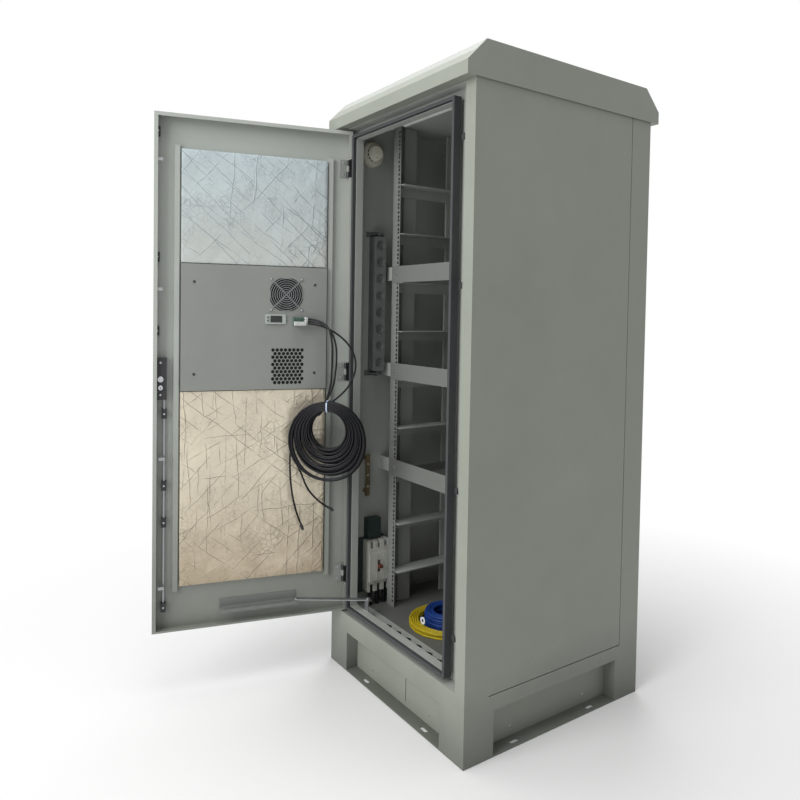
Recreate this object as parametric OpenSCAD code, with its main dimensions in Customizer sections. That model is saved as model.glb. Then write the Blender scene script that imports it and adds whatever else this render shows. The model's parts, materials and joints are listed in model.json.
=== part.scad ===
// Roadside equipment cabinet: a folded-sheet body on a plinth, with an insulated door that carries
// an air conditioner, a rack-and-pinion rod lock and a stay, and a 19-inch rack with shelves inside.
// Millimetres, Z up. The origin is on the ground under the middle of the body. The front is at -Y.

/* [Body] */
// Width of the body across the front
body_w = 750; // [730:10:800]
// Depth of the body from front face to rear face
body_d = 750; // [720:10:800]
// Height of the top plate above the ground
body_h = 1930; // [1920:5:1960]
// Thickness of the folded sheets
sheet = 2; // [1.5:0.25:2.5]
// Width of a corner post on the side and rear faces
post_w = 90; // [80:5:100]
// Depth of the folded edge of a wall panel
panel_fold = 12; // [10:1:15]
// Gap round a wall panel
panel_gap = 3; // [2:0.5:4]

/* [Plinth] */
// Height of the plinth
plinth_h = 140; // [120:5:150]
// Width of a plinth corner on each face
plinth_corner_w = 110; // [100:5:120]
// How far the kick panels are set back from the face
kick_setback = 45; // [40:1:55]
// Thickness of the base flange
flange_t = 4; // [3:0.5:6]
// Width of an anchor slot
slot_w = 14; // [12:1:16]
// Length of an anchor slot
slot_l = 34; // [28:1:40]
// Distance between the two anchor slots of a side
slot_spacing = 330; // [280:5:360]
// Distance of the anchor slots from the outer edge
slot_inset = 20; // [18:1:24]

/* [Roof] */
// Height of the roof cap
roof_h = 105; // [95:5:120]
// Height of the upright eave
eave_h = 38; // [30:2:46]
// How far the roof overhangs at front and rear
eave_over = 34; // [25:1:45]
// How far the roof overhangs at the sides
side_over = 5; // [4:0.5:10]
// Horizontal run of a roof slope
slope_run = 66; // [50:2:80]
// How far the eave hangs below the top plate
eave_drop = 35; // [30:1:40]

/* [Front frame] */
// Width of the front strip beside the door
strip_w = 42; // [38:1:46]
// Height of the sill below the door
sill_h = 59; // [55:1:65]
// Height of the header above the door
header_h = 37; // [34:1:42]
// Depth of the door rebate
rebate_d = 40; // [38:1:44]
// Width of the landing beside the opening
landing_w = 65; // [62:1:68]
// Height of the landing under the opening
landing_low = 25; // [22:1:28]
// Height of the landing over the opening
landing_high = 37; // [34:1:40]
// How far the lip round the opening stands forward
lip_d = 25; // [22:1:28]
// Width of the rubber seal outside the lip
seal_w = 10; // [8:1:11]

/* [Door] */
// Gap round the closed door
door_gap = 8; // [7:0.5:9]
// Depth of the door pan
door_t = 34; // [32:1:35]
// Width of the return flange round the pan
rim_w = 12; // [10:1:13]
// Angle at which the stay holds the door
door_open = 105; // [95:1:105]
// Thickness of the foil-faced insulation
foil_t = 18; // [15:1:20]
// Height of the foot of the air conditioner's panel
ac_z = 993; // [985:1:1000]
// Height of the air conditioner's panel
ac_h = 416; // [410:2:420]
// Distance from the lip round the opening in to the panel and the insulation
ac_margin = 27; // [26:1:30]
// How far the panel stands out from the door skin
ac_t = 24; // [22:1:27]
// How far the outer casing stands out in front of the door
casing_d = 130; // [100:5:140]

/* [Fan] */
// Radius of the fan opening
fan_r = 55; // [50:1:56]
// Number of fan blades
blade_count = 7; // [5:1:9]
// Number of rings in the finger guard
guard_rings = 7; // [5:1:8]

/* [Rack] */
// Distance from the side of the body to the rack's clear width
rack_side = 150; // [149:0.5:151]
// Width of an upright's front flange
upright_w = 45; // [40:1:48]
// Distance from the landing back to the front uprights
rack_setback = 130; // [125:1:140]
// Distance between two rails
rail_pitch = 172.5; // [170:0.5:174]
// Height of the lowest rail
first_rail = 332; // [325:1:335]
// Height of a shelf's front lip
shelf_lip = 58; // [50:1:62]

/* [Lock] */
// Radius of the pinion at its pitch circle
pinion_r = 8; // [8:0.5:8.5]
// Number of teeth on the pinion
pinion_teeth = 10; // [10:1:12]
// Width of a lock rod
rod_w = 5; // [4:0.25:5.5]
// Height of the handle spindle above the ground
lock_z = 1032; // [1025:1:1040]
// Length of the handle lever
lever_l = 92; // [80:1:95]

/* [Hidden] */
$fn = 48;
running = 0.05;
slack = 0.3;
half_w = body_w / 2;
half_d = body_d / 2;

// Planes of the front frame
front_y = -half_d;
landing_y = front_y + rebate_d;
opening_x = half_w - strip_w;
opening_z0 = plinth_h + sill_h;
opening_z1 = body_h - header_h;
lip_x = opening_x - landing_w;
lip_y = landing_y - lip_d;
lip_z0 = opening_z0 + landing_low;
lip_z1 = opening_z1 - landing_high;
floor_z = opening_z0 + 1;

// Panels and their seats
post_edge = half_d - post_w;
post_edge_x = half_w - post_w;
seat_x = half_w - panel_fold - sheet;
seat_y = half_d - panel_fold - sheet;
seat_w = 20;
wall_sill_h = 40;
panel_z0 = plinth_h + wall_sill_h + panel_gap;
panel_z1 = body_h - eave_drop + 10;

// Door in its closed place. The hinge axis lies inside the corner of the pan.
door_half_w = opening_x - door_gap;
door_z0 = opening_z0 + door_gap;
door_z1 = opening_z1 - door_gap;
skin_y = front_y + sheet;
rim_y = front_y + door_t;
hinge_inset = 9;
hinge_x = -door_half_w + hinge_inset;
hinge_y = front_y + hinge_inset;
hinge_heights = [door_z0 + 124, (door_z0 + door_z1) / 2 + 3, door_z1 - 125];
hinge_h = 60;
knuckle_h = 20;
knuckle_r = 5;
pin_r = 2.5;
notch_h = hinge_h + 8;
rim_low = landing_low - door_gap - seal_w - 1;

// Door stiffeners and insulation
stiff_x = lip_x - ac_margin + 5;
stiff_w = 16;
stiff_t = 12;
stiff_z0 = door_z0 + 123;
stiff_z1 = door_z1 - 95;
foil_low_z0 = stiff_z0 + 19;
foil_high_z1 = stiff_z1 - 12;
foil_gap = 3;
ac_half_w = lip_x - ac_margin;
ac_face = skin_y + ac_t;
casing_half_w = ac_half_w - 46;
casing_margin = 20;

// Air conditioner panel: places across the door and up it
fan_x = 140 - ac_half_w;
fan_z = ac_z + 322;
fan_corner = 4;
guard_bar = 2.2;
guard_t = 2.5;
fan_depth = 38;
strut_t = 4;
shaft_l = 20;
fan_half = fan_r + 4.5;
hub_r = 20;
shaft_r = 3;
vent_x = 78 - ac_half_w;
vent_z = ac_z + 17;
vent_pitch = 14.2;
vent_rows = 10;
vent_columns = 8;
vent_r = 6;
display_x = 142 - ac_half_w;
display_z = ac_z + 222;
display_w = 68;
display_h = 33;
screen_x = display_x + 12;
screen_w = 40;
key_x = display_x + display_w - 8;
key_r = 3;
key_travel = 1;
terminal_x = 82 - ac_half_w;
terminal_w = 36;

// Lock: the upper rod runs on the right of the pinion, the lower rod on its left
lock_x = door_half_w - 23;
tooth_pitch = 2 * PI * pinion_r / pinion_teeth;
tooth_up = 0.2 * tooth_pitch;
tooth_down = 0.3 * tooth_pitch;
rod_offset = pinion_r + tooth_down;
rod_y = skin_y + 5;
rod_t = 5;
rod_past_guide = 12;
upper_guides = [lock_z + 157, lock_z + 395, door_z1 - 57];
lower_guides = [door_z0 + 76, lock_z - 469, lock_z - 348, lock_z - 113];
upper_keepers = [lock_z + 302, door_z1 - 138];
lower_keepers = [door_z0 + 134, lock_z - 268];
tongue_h = 10;
tongue_y = rod_y + rod_t + 15;
keeper_y = tongue_y - 7;
keeper_t = 3;
spindle_r = 6;
plate_t = 6;
hub_t = 9.2;
lever_t = 8;
lever_pivot_y = front_y - plate_t - hub_t - slack - lever_t / 2 - 0.5;
lock_case_z0 = lock_z - 66;
lock_case_z1 = lock_z + 70;
lock_case_t = 21;

// Stay: a shelf on the door, an arm and a bracket on the floor of the body
stay_z = floor_z + 60;
stay_l = 258;
stay_x0 = 121 - lip_x;
stay_x1 = stay_x0 + stay_l;
stay_shelf_d = 38;
stay_line = skin_y + 24;
bracket_x = 61 - lip_x;
bracket_y = landing_y + 9;
stay_reach = 178 - hinge_inset;
stay_line_open = stay_line - hinge_y;
arm_t = 3;
arm_w = 20;
arm_end_x = hinge_x + stay_reach * cos(door_open) + stay_line_open * sin(door_open);
arm_end_y = hinge_y - stay_reach * sin(door_open) + stay_line_open * cos(door_open);
arm_l = norm([arm_end_x - bracket_x, arm_end_y - bracket_y]);
arm_angle = atan2(arm_end_y - bracket_y, arm_end_x - bracket_x);

// Front corner of the rack, and the plate at its left
upright_x = half_w - rack_side;
rack_front = -landing_y - rack_setback;
plate_gap = 61;
plate_x = -(upright_x + upright_w + plate_gap);
plate_face = plate_x + sheet;
plate_y0 = landing_y + sheet;
plate_y1 = 55 - rack_front;
detector_y = plate_y0 + 69;
detector_z = body_h - 105;
detector_r = 44;
strip_y = plate_y0 + 89;
strip_l = 480;
strip_z1 = detector_z - 295;
strip_z0 = strip_z1 - strip_l;
strip_depth = 44;
socket_count = 8;
earth_y = plate_y0 + 59;
earth_z0 = 597;
earth_l = 150;
breaker_y = plate_y0 + 97;
breaker_w = 88;
breaker_z0 = 252;
breaker_h = 182;
breaker_d = 48;
pole_w = breaker_w / 3;
toggle_z = breaker_z0 + 93;
toggle_y = breaker_y - 3;
toggle_half_w = 7.5;
trunnion_r = 2;
trunnion_l = 3;
breaker_back = plate_face + 10;
breaker_face = breaker_back + breaker_d;
toggle_axis_x = breaker_face - 8;
cable_r = 7;

// Rack
upright_out = upright_x + upright_w;
upright_d = 40;
upright_back_w = 16;
upright_top = body_h - sheet;
unit_h = 44.45;
unit_holes = [6.35, 22.225, 38.1];
unit_count = floor((upright_top - floor_z - 20) / unit_h);
rail_count = 9;
rail_h = 35;
rail_leg = 64;
shelf_rails = [2, 4, 6];
shelf_side_h = 30;

// Floor holes and loose coils
gland_d = 58;
gland_count = 6;
gland_pitch = 57;
gland_first = -114;
gland_r = 18;
coil_x = -20;
coil_y = 80 - rack_front;
yellow_r = 130;
yellow_w = 40;
yellow_h = 30;
blue_r = 78;
blue_w = 34;
blue_h = 60;
lug_r = 12;

// Cables on the door, in the door's own directions: along it from the hinge edge, in from its front, up
lead_r = 3.25;
lead_sides = 8;
coil_s = 95;
coil_in = 114;
coil_turn = 32;
coil_z = 823;
coil_r = 138;
coil_hole_r = 60;
coil_hole_z = 864;
coil_t = 40;
lead_left = [[166, 36, 1234], [140, 46, 1232], [112, 66, 1224], [92, 88, 1204], [84, 102, 1166],
    [82, 110, 1120], [85, 114, 1060], [90, 115, 1005], [94, 114, 956]];
lead_middle = [[166, 36, 1226], [138, 50, 1224], [106, 74, 1214], [84, 98, 1190], [72, 112, 1150],
    [70, 119, 1104], [74, 121, 1050], [84, 119, 1000], [90, 116, 956]];
lead_right = [[166, 36, 1218], [136, 54, 1216], [96, 78, 1204], [58, 100, 1180], [26, 116, 1146],
    [8, 126, 1104], [8, 130, 1060], [26, 129, 1016], [56, 124, 980], [80, 118, 952]];
tail_long = [[202, 48, 806], [209, 45, 770], [209, 44, 730], [206, 44, 680], [198, 44, 624],
    [185, 44, 572], [168, 44, 526]];
tail_short = [[180, 62, 740], [172, 64, 704], [156, 66, 664], [132, 68, 630], [104, 70, 604], [78, 72, 586]];

body_grey = [0.73, 0.75, 0.71];
dark_grey = [0.25, 0.26, 0.27];
black = [0.06, 0.06, 0.07];
steel = [0.72, 0.73, 0.74];
foil_silver = [0.82, 0.82, 0.80];
cream = [0.86, 0.85, 0.78];

// Shared shapes
module block(x0, x1, y0, y1, z0, z1) {
    translate([x0, y0, z0]) cube([x1 - x0, y1 - y0, z1 - z0]);
}

// A sheet folded along a path of square corners, seen end on
module folded(path, t) {
    for (i = [0 : len(path) - 2])
        translate([min(path[i].x, path[i + 1].x), min(path[i].y, path[i + 1].y)])
            square([abs(path[i + 1].x - path[i].x) + t, abs(path[i + 1].y - path[i].y) + t]);
}

// Extrudes a profile drawn in Y and Z along X
module along_x(length) {
    rotate([90, 0, 90]) linear_extrude(length, center = true) children();
}

// Extrudes a profile drawn in X and Z along Y
module along_y(length) {
    rotate([90, 0, 0]) linear_extrude(length, center = true) children();
}

module left_and_right() {
    children();
    mirror([1, 0, 0]) children();
}

module front_and_rear() {
    children();
    mirror([0, 1, 0]) children();
}

// Places the closed door at the angle at which the stay holds it
module on_door() {
    translate([hinge_x, hinge_y, 0]) rotate(-door_open) translate([-hinge_x, -hinge_y, 0]) children();
}

module round_along_y(x, z, y0, y1, r) {
    translate([x, y0, z]) rotate([-90, 0, 0]) cylinder(h = y1 - y0, r = r);
}

module round_along_x(y, z, x0, x1, r) {
    translate([x0, y, z]) rotate([0, 90, 0]) cylinder(h = x1 - x0, r = r);
}

// Plinth
module plinth_corner() {
    inner = half_w - plinth_corner_w;
    path = [[inner, -half_d + kick_setback], [inner, -half_d], [half_w - flange_t, -half_d],
        [half_w - flange_t, -half_d + plinth_corner_w - flange_t],
        [half_w - kick_setback - flange_t, -half_d + plinth_corner_w - flange_t]];
    linear_extrude(plinth_h) folded(path, flange_t);
}

module anchor_slot() {
    cut = flange_t + 2;
    straight = slot_l - slot_w;
    translate([-straight / 2, -slot_w / 2, -1]) cube([straight, slot_w, cut]);
    for (side = [-1, 1])
        translate([side * straight / 2, 0, -1]) cylinder(h = cut, r = slot_w / 2);
}

module plinth_ring(t) {
    ring_w = kick_setback + 20;
    difference() {
        block(-half_w, half_w, -half_d, half_d, 0, t);
        block(-half_w + ring_w, half_w - ring_w, -half_d + ring_w, half_d - ring_w, -1, t + 1);
    }
}

module plinth_frame() {
    color(body_grey) difference() {
        union() {
            plinth_ring(flange_t);
            translate([0, 0, plinth_h - flange_t]) plinth_ring(flange_t);
            left_and_right() front_and_rear() plinth_corner();
        }
        for (side = [-1, 1], end = [-1, 1]) {
            translate([side * slot_spacing / 2, end * (half_d - slot_inset), 0]) anchor_slot();
            translate([end * (half_w - slot_inset), side * slot_spacing / 2, 0]) rotate(90) anchor_slot();
        }
    }
}

module kick_panels() {
    inner_x = half_w - plinth_corner_w;
    inner_y = half_d - plinth_corner_w;
    z1 = plinth_h - flange_t;
    slit_x = 32;
    slit_w = 3;
    slit_h = 90;
    color(body_grey) {
        difference() {
            block(-inner_x, inner_x, front_y + kick_setback, front_y + kick_setback + sheet, flange_t, z1);
            block(slit_x, slit_x + slit_w, front_y, 0, flange_t + 15, flange_t + 15 + slit_h);
        }
        block(-inner_x, inner_x, half_d - kick_setback - sheet, half_d - kick_setback, flange_t, z1);
        left_and_right()
            block(half_w - kick_setback - sheet, half_w - kick_setback, -inner_y, inner_y, flange_t, z1);
    }
}

// Body frame
module front_post() {
    path = [[seat_x, -post_edge + seat_w - sheet], [seat_x, -post_edge - sheet],
        [half_w - sheet, -post_edge - sheet], [half_w - sheet, front_y], [opening_x, front_y],
        [opening_x, landing_y], [lip_x, landing_y]];
    translate([0, 0, plinth_h]) linear_extrude(body_h - plinth_h - sheet) folded(path, sheet);
    block(lip_x, lip_x + sheet, lip_y, landing_y, lip_z0, lip_z1 + sheet);
}

module front_posts() {
    color(body_grey) left_and_right() front_post();
}

module rear_post() {
    path = [[seat_x, post_edge - seat_w], [seat_x, post_edge], [half_w - sheet, post_edge],
        [half_w - sheet, half_d - sheet], [post_edge_x, half_d - sheet], [post_edge_x, seat_y],
        [post_edge_x - seat_w, seat_y]];
    translate([0, 0, plinth_h]) linear_extrude(body_h - plinth_h - sheet) folded(path, sheet);
}

module rear_posts() {
    color(body_grey) left_and_right() rear_post();
}

// A rail across the front: strip, rebate and return, then the landing and lip between the posts.
// It is drawn from the outer edge at zero up to the opening.
module front_rail(strip_h, landing_h) {
    return_d = 30;
    outer = [[front_y + return_d, 0], [front_y, 0], [front_y, strip_h - sheet],
        [landing_y - sheet, strip_h - sheet]];
    inner = [[landing_y, strip_h - sheet], [landing_y, strip_h + landing_h]];
    along_x(2 * opening_x) folded(outer, sheet);
    along_x(2 * lip_x) folded(inner, sheet);
    along_x(2 * lip_x) translate([lip_y, strip_h + landing_h]) square([landing_y - lip_y, sheet]);
}

module front_sill() {
    color(body_grey) translate([0, 0, plinth_h]) front_rail(sill_h, landing_low);
}

module front_header() {
    color(body_grey) translate([0, 0, body_h - sheet]) mirror([0, 0, 1])
        front_rail(header_h - sheet, landing_high - sheet);
}

// A sill under a wall panel, drawn in section: the foot, then the return and the panel's seat
module wall_sill_folds(outer, seat) {
    foot = 40;
    top = plinth_h + wall_sill_h;
    folded([[outer - foot, plinth_h], [outer - 2 * sheet, plinth_h]], sheet);
    folded([[outer - 2 * sheet, top - sheet], [seat, top - sheet], [seat, top + seat_w - sheet]], sheet);
}

module wall_sill_face(outer) {
    translate([outer - sheet, plinth_h]) square([sheet, wall_sill_h]);
}

module wall_sills() {
    color(body_grey) {
        left_and_right() {
            along_y(2 * post_edge) wall_sill_face(half_w);
            along_y(2 * (post_edge - seat_w)) wall_sill_folds(half_w, seat_x);
        }
        along_x(2 * post_edge_x) wall_sill_face(half_d);
        along_x(2 * (post_edge_x - seat_w)) wall_sill_folds(half_d, seat_y);
    }
}

// A wall panel with its edges folded inwards, drawn standing in the YZ plane at the right
module wall_panel(outer, y0, y1) {
    difference() {
        block(outer - panel_fold, outer, y0, y1, panel_z0, panel_z1);
        block(outer - panel_fold - 1, outer - sheet, y0 + sheet, y1 - sheet,
            panel_z0 + sheet, panel_z1 - sheet);
    }
}

// A side panel closes up against the front post and leaves a seam at the rear post
module side_panel_right() {
    color(body_grey) wall_panel(half_w, -post_edge, post_edge - panel_gap);
}

module side_panel_left() {
    color(body_grey) mirror([1, 0, 0]) wall_panel(half_w, -post_edge, post_edge - panel_gap);
}

module rear_panel() {
    half_l = post_edge_x - panel_gap;
    color(body_grey) rotate(90) wall_panel(half_d, -half_l, half_l);
}

module floor_plate() {
    y0 = landing_y + sheet + gland_d;
    color(body_grey) block(-seat_x, seat_x, y0, seat_y, floor_z - sheet, floor_z);
}

// One small plate for each cable entry in a row, with a blank plate at each end
module gland_plate() {
    y0 = landing_y + sheet;
    y1 = y0 + gland_d;
    z0 = floor_z - sheet;
    seam = 0.5;
    row_x0 = gland_first - gland_pitch / 2;
    row_x1 = row_x0 + gland_count * gland_pitch;
    color(body_grey) {
        block(-seat_x, row_x0 - seam, y0, y1, z0, floor_z);
        block(row_x1, seat_x, y0, y1, z0, floor_z);
        for (i = [0 : gland_count - 1]) difference() {
            block(row_x0 + i * gland_pitch, row_x0 + (i + 1) * gland_pitch - seam, y0, y1, z0, floor_z);
            translate([gland_first + i * gland_pitch, y0 + gland_r + 6, z0 - 1])
                cylinder(h = sheet + 2, r = gland_r);
        }
    }
}

module top_plate() {
    seat_h = 43;
    color(body_grey) {
        block(-half_w, half_w, -half_d, half_d, body_h - sheet, body_h);
        left_and_right()
            block(seat_x, seat_x + sheet, -post_edge + seat_w, post_edge - seat_w, body_h - seat_h, body_h);
        block(-post_edge_x + seat_w, post_edge_x - seat_w, seat_y, seat_y + sheet, body_h - seat_h, body_h);
    }
}

// Roof: section through the eaves, slopes and flat top
module roof_section(inset) {
    eave_y = half_d + eave_over - inset;
    z0 = body_h - eave_drop;
    top = z0 + roof_h - inset;
    shoulder = z0 + eave_h - inset / 2;
    top_y = eave_y - slope_run + inset / 2;
    foot = z0 - (inset > 0 ? 1 : 0);
    polygon([[-eave_y, foot], [eave_y, foot], [eave_y, shoulder],
        [top_y, top], [-top_y, top], [-eave_y, shoulder]]);
}

module roof_cap() {
    roof_half_w = half_w + side_over;
    soffit_gap = 1;
    z0 = body_h - eave_drop;
    color(body_grey) {
        difference() {
            along_x(2 * roof_half_w) roof_section(0);
            along_x(2 * (roof_half_w - sheet)) roof_section(sheet);
        }
        front_and_rear()
            block(-roof_half_w + sheet, roof_half_w - sheet, half_d + soffit_gap, half_d + eave_over - sheet,
                z0, z0 + sheet);
    }
}

module roof_rails() {
    rail_w = 50;
    rail_y = half_d - 125;
    rail_half_l = half_w - 75;
    top = body_h - eave_drop + roof_h - sheet;
    path = [[-rail_w / 2 - seat_w, body_h], [-rail_w / 2, body_h], [-rail_w / 2, top - sheet],
        [rail_w / 2, top - sheet], [rail_w / 2, body_h], [rail_w / 2 + seat_w, body_h]];
    color(steel) front_and_rear() translate([0, rail_y, 0]) along_x(2 * rail_half_l) folded(path, sheet);
}

module door_seal() {
    x1 = lip_x + sheet;
    y0 = skin_y + slack + 0.1;
    y1 = landing_y - 11;
    color(black) difference() {
        block(-x1 - seal_w, x1 + seal_w, y0, y1, lip_z0 - seal_w, lip_z1 + sheet + seal_w);
        block(-x1, x1, y0 - 1, y1 + 1, lip_z0, lip_z1 + sheet);
    }
}

// Rack
module upright() {
    hole = 9.5;
    depth = rack_front - upright_d;
    z0 = floor_z;
    difference() {
        translate([0, 0, z0]) linear_extrude(upright_top - z0)
            folded([[upright_x, -rack_front], [upright_out - sheet, -rack_front],
                [upright_out - sheet, -depth - sheet],
                [upright_out + upright_back_w, -depth - sheet]], sheet);
        for (unit = [0 : unit_count - 1], offset = unit_holes)
            translate([upright_x + 5, -rack_front - 1, z0 + 15 + unit * unit_h + offset - hole / 2])
                cube([hole, sheet + 2, hole]);
    }
}

module rack_uprights() {
    color(body_grey) left_and_right() front_and_rear() upright();
}

module rack_rails() {
    x1 = upright_out - sheet;
    color(body_grey) left_and_right() for (i = [0 : rail_count - 1])
        along_y(2 * (rack_front - sheet))
            translate([0, first_rail + i * rail_pitch])
                folded([[x1 - rail_leg, -sheet], [x1 - sheet, -sheet], [x1 - sheet, -rail_h]], sheet);
}

module shelf() {
    tray_x = upright_x - 1;
    lip_x1 = upright_out - 2;
    color(body_grey) {
        block(-lip_x1, lip_x1, -rack_front - sheet, -rack_front, 0, shelf_lip);
        block(-tray_x, tray_x, -rack_front, rack_front - sheet, 0, sheet);
        left_and_right() block(tray_x - sheet, tray_x, -rack_front, rack_front - sheet, 0, shelf_side_h);
    }
}

module shelves() {
    for (i = shelf_rails)
        translate([0, 0, first_rail + i * rail_pitch]) shelf();
}

// Equipment on the left
module equipment_plate() {
    fold = 25;
    tie_z = 8;
    tie_h = 48;
    color(body_grey) {
        block(plate_x, plate_face, plate_y0, plate_y1, floor_z, upright_top);
        block(plate_x - fold, plate_x, plate_y1 - sheet, plate_y1, floor_z, upright_top);
        for (i = shelf_rails)
            translate([0, 0, first_rail + i * rail_pitch + tie_z])
                block(plate_face, -upright_out, -rack_front, -rack_front + sheet, 0, tie_h);
    }
}

module smoke_detector() {
    profile = [[0, 0], [detector_r, 0], [detector_r, 16], [detector_r - 5, 22], [30, 24], [30, 32],
        [24, 40], [0, 42]];
    color(cream) translate([plate_face, detector_y, detector_z]) rotate([0, 90, 0])
        rotate_extrude() polygon(profile);
}

module socket_strip() {
    strip_half = 22;
    foot_half = 36;
    foot_h = 19;
    foot_t = 3;
    rib_in = 10;
    pitch = (strip_z1 - strip_z0) / socket_count;
    x1 = plate_face + strip_depth;
    color([0.45, 0.46, 0.47]) difference() {
        block(plate_face, x1, strip_y - strip_half, strip_y + strip_half, strip_z0, strip_z1);
        for (i = [0 : socket_count - 1])
            round_along_x(strip_y, strip_z0 + (i + 0.5) * pitch, x1 - 8, x1 + 1, 17);
    }
    color([0.8, 0.8, 0.78]) for (z = [strip_z0 - foot_h, strip_z1]) {
        block(plate_face, plate_face + foot_t, strip_y - foot_half, strip_y + foot_half, z, z + foot_h);
        block(plate_face, x1 - rib_in, strip_y - strip_half, strip_y + strip_half,
            z + foot_h / 2 - foot_t / 2, z + foot_h / 2 + foot_t / 2);
        block(plate_face, x1 - rib_in, strip_y - foot_t, strip_y + foot_t, z, z + foot_h);
    }
}

module earth_bar() {
    bar_w = 16;
    bar_t = 5;
    stand = 22;
    post_z = [earth_z0 + 15, earth_z0 + earth_l - 15];
    x0 = plate_face + stand;
    color([0.72, 0.5, 0.25]) difference() {
        block(x0, x0 + bar_t, earth_y - bar_w / 2, earth_y + bar_w / 2, earth_z0, earth_z0 + earth_l);
        for (i = [0 : 4])
            round_along_x(earth_y, earth_z0 + 35 + 20 * i, x0 - 1, x0 + bar_t + 1, 3);
    }
    color([0.55, 0.2, 0.15]) for (z = post_z)
        round_along_x(earth_y, z, plate_face, x0, 7);
}

module breaker_base() {
    shroud_h = 72;
    shroud_d = 30;
    side_margin = 22;
    low_margin = 10;
    z1 = breaker_z0 + breaker_h + 6;
    color([0.1, 0.16, 0.15]) {
        block(plate_face, breaker_back, breaker_y - breaker_w / 2 - side_margin, breaker_y + breaker_w / 2,
            breaker_z0 - low_margin, z1);
        block(plate_face, plate_face + shroud_d, breaker_y - 36, breaker_y + 18, z1, z1 + shroud_h);
    }
}

module breaker_case() {
    y0 = breaker_y - breaker_w / 2;
    z1 = breaker_z0 + breaker_h;
    end_h = 26;
    step = 14;
    lug_w = 15;
    lug_d = 34;
    slot_h = 44;
    slot_d = 24;
    slot_half = toggle_half_w + slack;
    pin_half = toggle_half_w + trunnion_l + slack;
    color([0.83, 0.82, 0.76]) difference() {
        block(breaker_back, breaker_face, y0, y0 + breaker_w, breaker_z0, z1);
        for (z = [breaker_z0, z1 - end_h], pole = [0 : 2])
            translate([breaker_face - lug_d, y0 + (pole + 0.5) * pole_w - lug_w / 2, z - 1])
                cube([lug_d + 1, lug_w, end_h + 2]);
        for (z = [breaker_z0 - 1, z1 - end_h - step])
            block(breaker_face - 8, breaker_face + 1, y0 - 1, y0 + breaker_w + 1, z, z + end_h + step + 1);
        block(breaker_face - slot_d, breaker_face + 1, toggle_y - slot_half, toggle_y + slot_half,
            toggle_z - slot_h / 2, toggle_z + slot_h / 2);
        round_along_y(toggle_axis_x, toggle_z, toggle_y - pin_half, toggle_y + pin_half,
            trunnion_r + running);
    }
}

module breaker_toggle() {
    lever_out = 14;
    neck = 5;
    round_r = 6;
    color([0.42, 0.16, 0.12]) {
        round_along_y(toggle_axis_x, toggle_z, toggle_y - toggle_half_w - trunnion_l,
            toggle_y + toggle_half_w + trunnion_l, trunnion_r);
        round_along_y(toggle_axis_x, toggle_z, toggle_y - toggle_half_w, toggle_y + toggle_half_w, round_r);
        block(toggle_axis_x, breaker_face + lever_out, toggle_y - toggle_half_w, toggle_y + toggle_half_w,
            toggle_z - neck, toggle_z + neck);
    }
}

module breaker_cables() {
    x = breaker_face - 20;
    color(black) for (pole = [0 : 2])
        translate([x, breaker_y - breaker_w / 2 + (pole + 0.5) * pole_w, floor_z])
            cylinder(h = breaker_z0 + 20 - floor_z, r = cable_r);
}

module ceiling_lamp() {
    lamp_l = 300;
    lamp_w = 40;
    lamp_h = 46;
    lamp_y = landing_y + 87;
    lens_r = lamp_w / 2 - 3;
    z1 = body_h - sheet;
    color(cream) {
        block(-lamp_l / 2, lamp_l / 2, lamp_y - lamp_w / 2, lamp_y + lamp_w / 2, z1 - lamp_h / 2, z1);
        translate([0, lamp_y, z1 - lamp_h / 2]) rotate([0, 90, 0])
            cylinder(h = lamp_l - 20, r = lens_r, center = true);
    }
}

// Hinges
module hinge_pins() {
    head_h = 3;
    color(steel) for (z = hinge_heights) translate([hinge_x, hinge_y, z]) {
        translate([0, 0, -hinge_h / 2]) cylinder(h = hinge_h + head_h, r = pin_r);
        translate([0, 0, hinge_h / 2]) cylinder(h = head_h, r = pin_r + 1.5);
    }
}

module frame_hinge() {
    web_t = 3.5;
    foot_t = 3;
    gap = 0.4;
    difference() {
        union() {
            cylinder(h = hinge_h, r = knuckle_r, center = true);
            block(0, web_t, 0, landing_y - hinge_y, -hinge_h / 2, hinge_h / 2);
            block(-opening_x + slack - hinge_x, web_t, landing_y - hinge_y - foot_t, landing_y - hinge_y,
                -hinge_h / 2, hinge_h / 2);
        }
        cylinder(h = hinge_h + 2, r = pin_r + running, center = true);
        translate([0, 0, -knuckle_h / 2 - gap])
            cylinder(h = knuckle_h + 2 * gap, r = knuckle_r + 2);
        block(-knuckle_r - 2, web_t + 1, -knuckle_r - 2, knuckle_r + 4,
            -knuckle_h / 2 - gap, knuckle_h / 2 + gap);
    }
}

module frame_hinges() {
    color([0.12, 0.12, 0.13]) for (z = hinge_heights)
        translate([hinge_x, hinge_y, z]) frame_hinge();
}

module door_hinge() {
    leaf_w = 22;
    leaf_t = 4;
    y0 = skin_y - hinge_y;
    difference() {
        union() {
            cylinder(h = knuckle_h, r = knuckle_r, center = true);
            block(0, knuckle_r + 2, y0, y0 + leaf_t, -knuckle_h / 2, knuckle_h / 2);
            block(knuckle_r + 1, knuckle_r + 1 + leaf_w, y0, y0 + leaf_t, -hinge_h / 2, hinge_h / 2);
        }
        cylinder(h = knuckle_h + 2, r = pin_r + running, center = true);
    }
}

module door_hinges() {
    color([0.12, 0.12, 0.13]) on_door() for (z = hinge_heights)
        translate([hinge_x, hinge_y, z]) door_hinge();
}

// Door
module stiffener() {
    path = [[ac_half_w + 1, skin_y], [stiff_x, skin_y], [stiff_x, skin_y + stiff_t - sheet],
        [stiff_x + stiff_w - sheet, skin_y + stiff_t - sheet], [stiff_x + stiff_w - sheet, skin_y],
        [stiff_x + stiff_w, skin_y]];
    translate([0, 0, stiff_z0]) linear_extrude(stiff_z1 - stiff_z0) folded(path, sheet);
}

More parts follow.
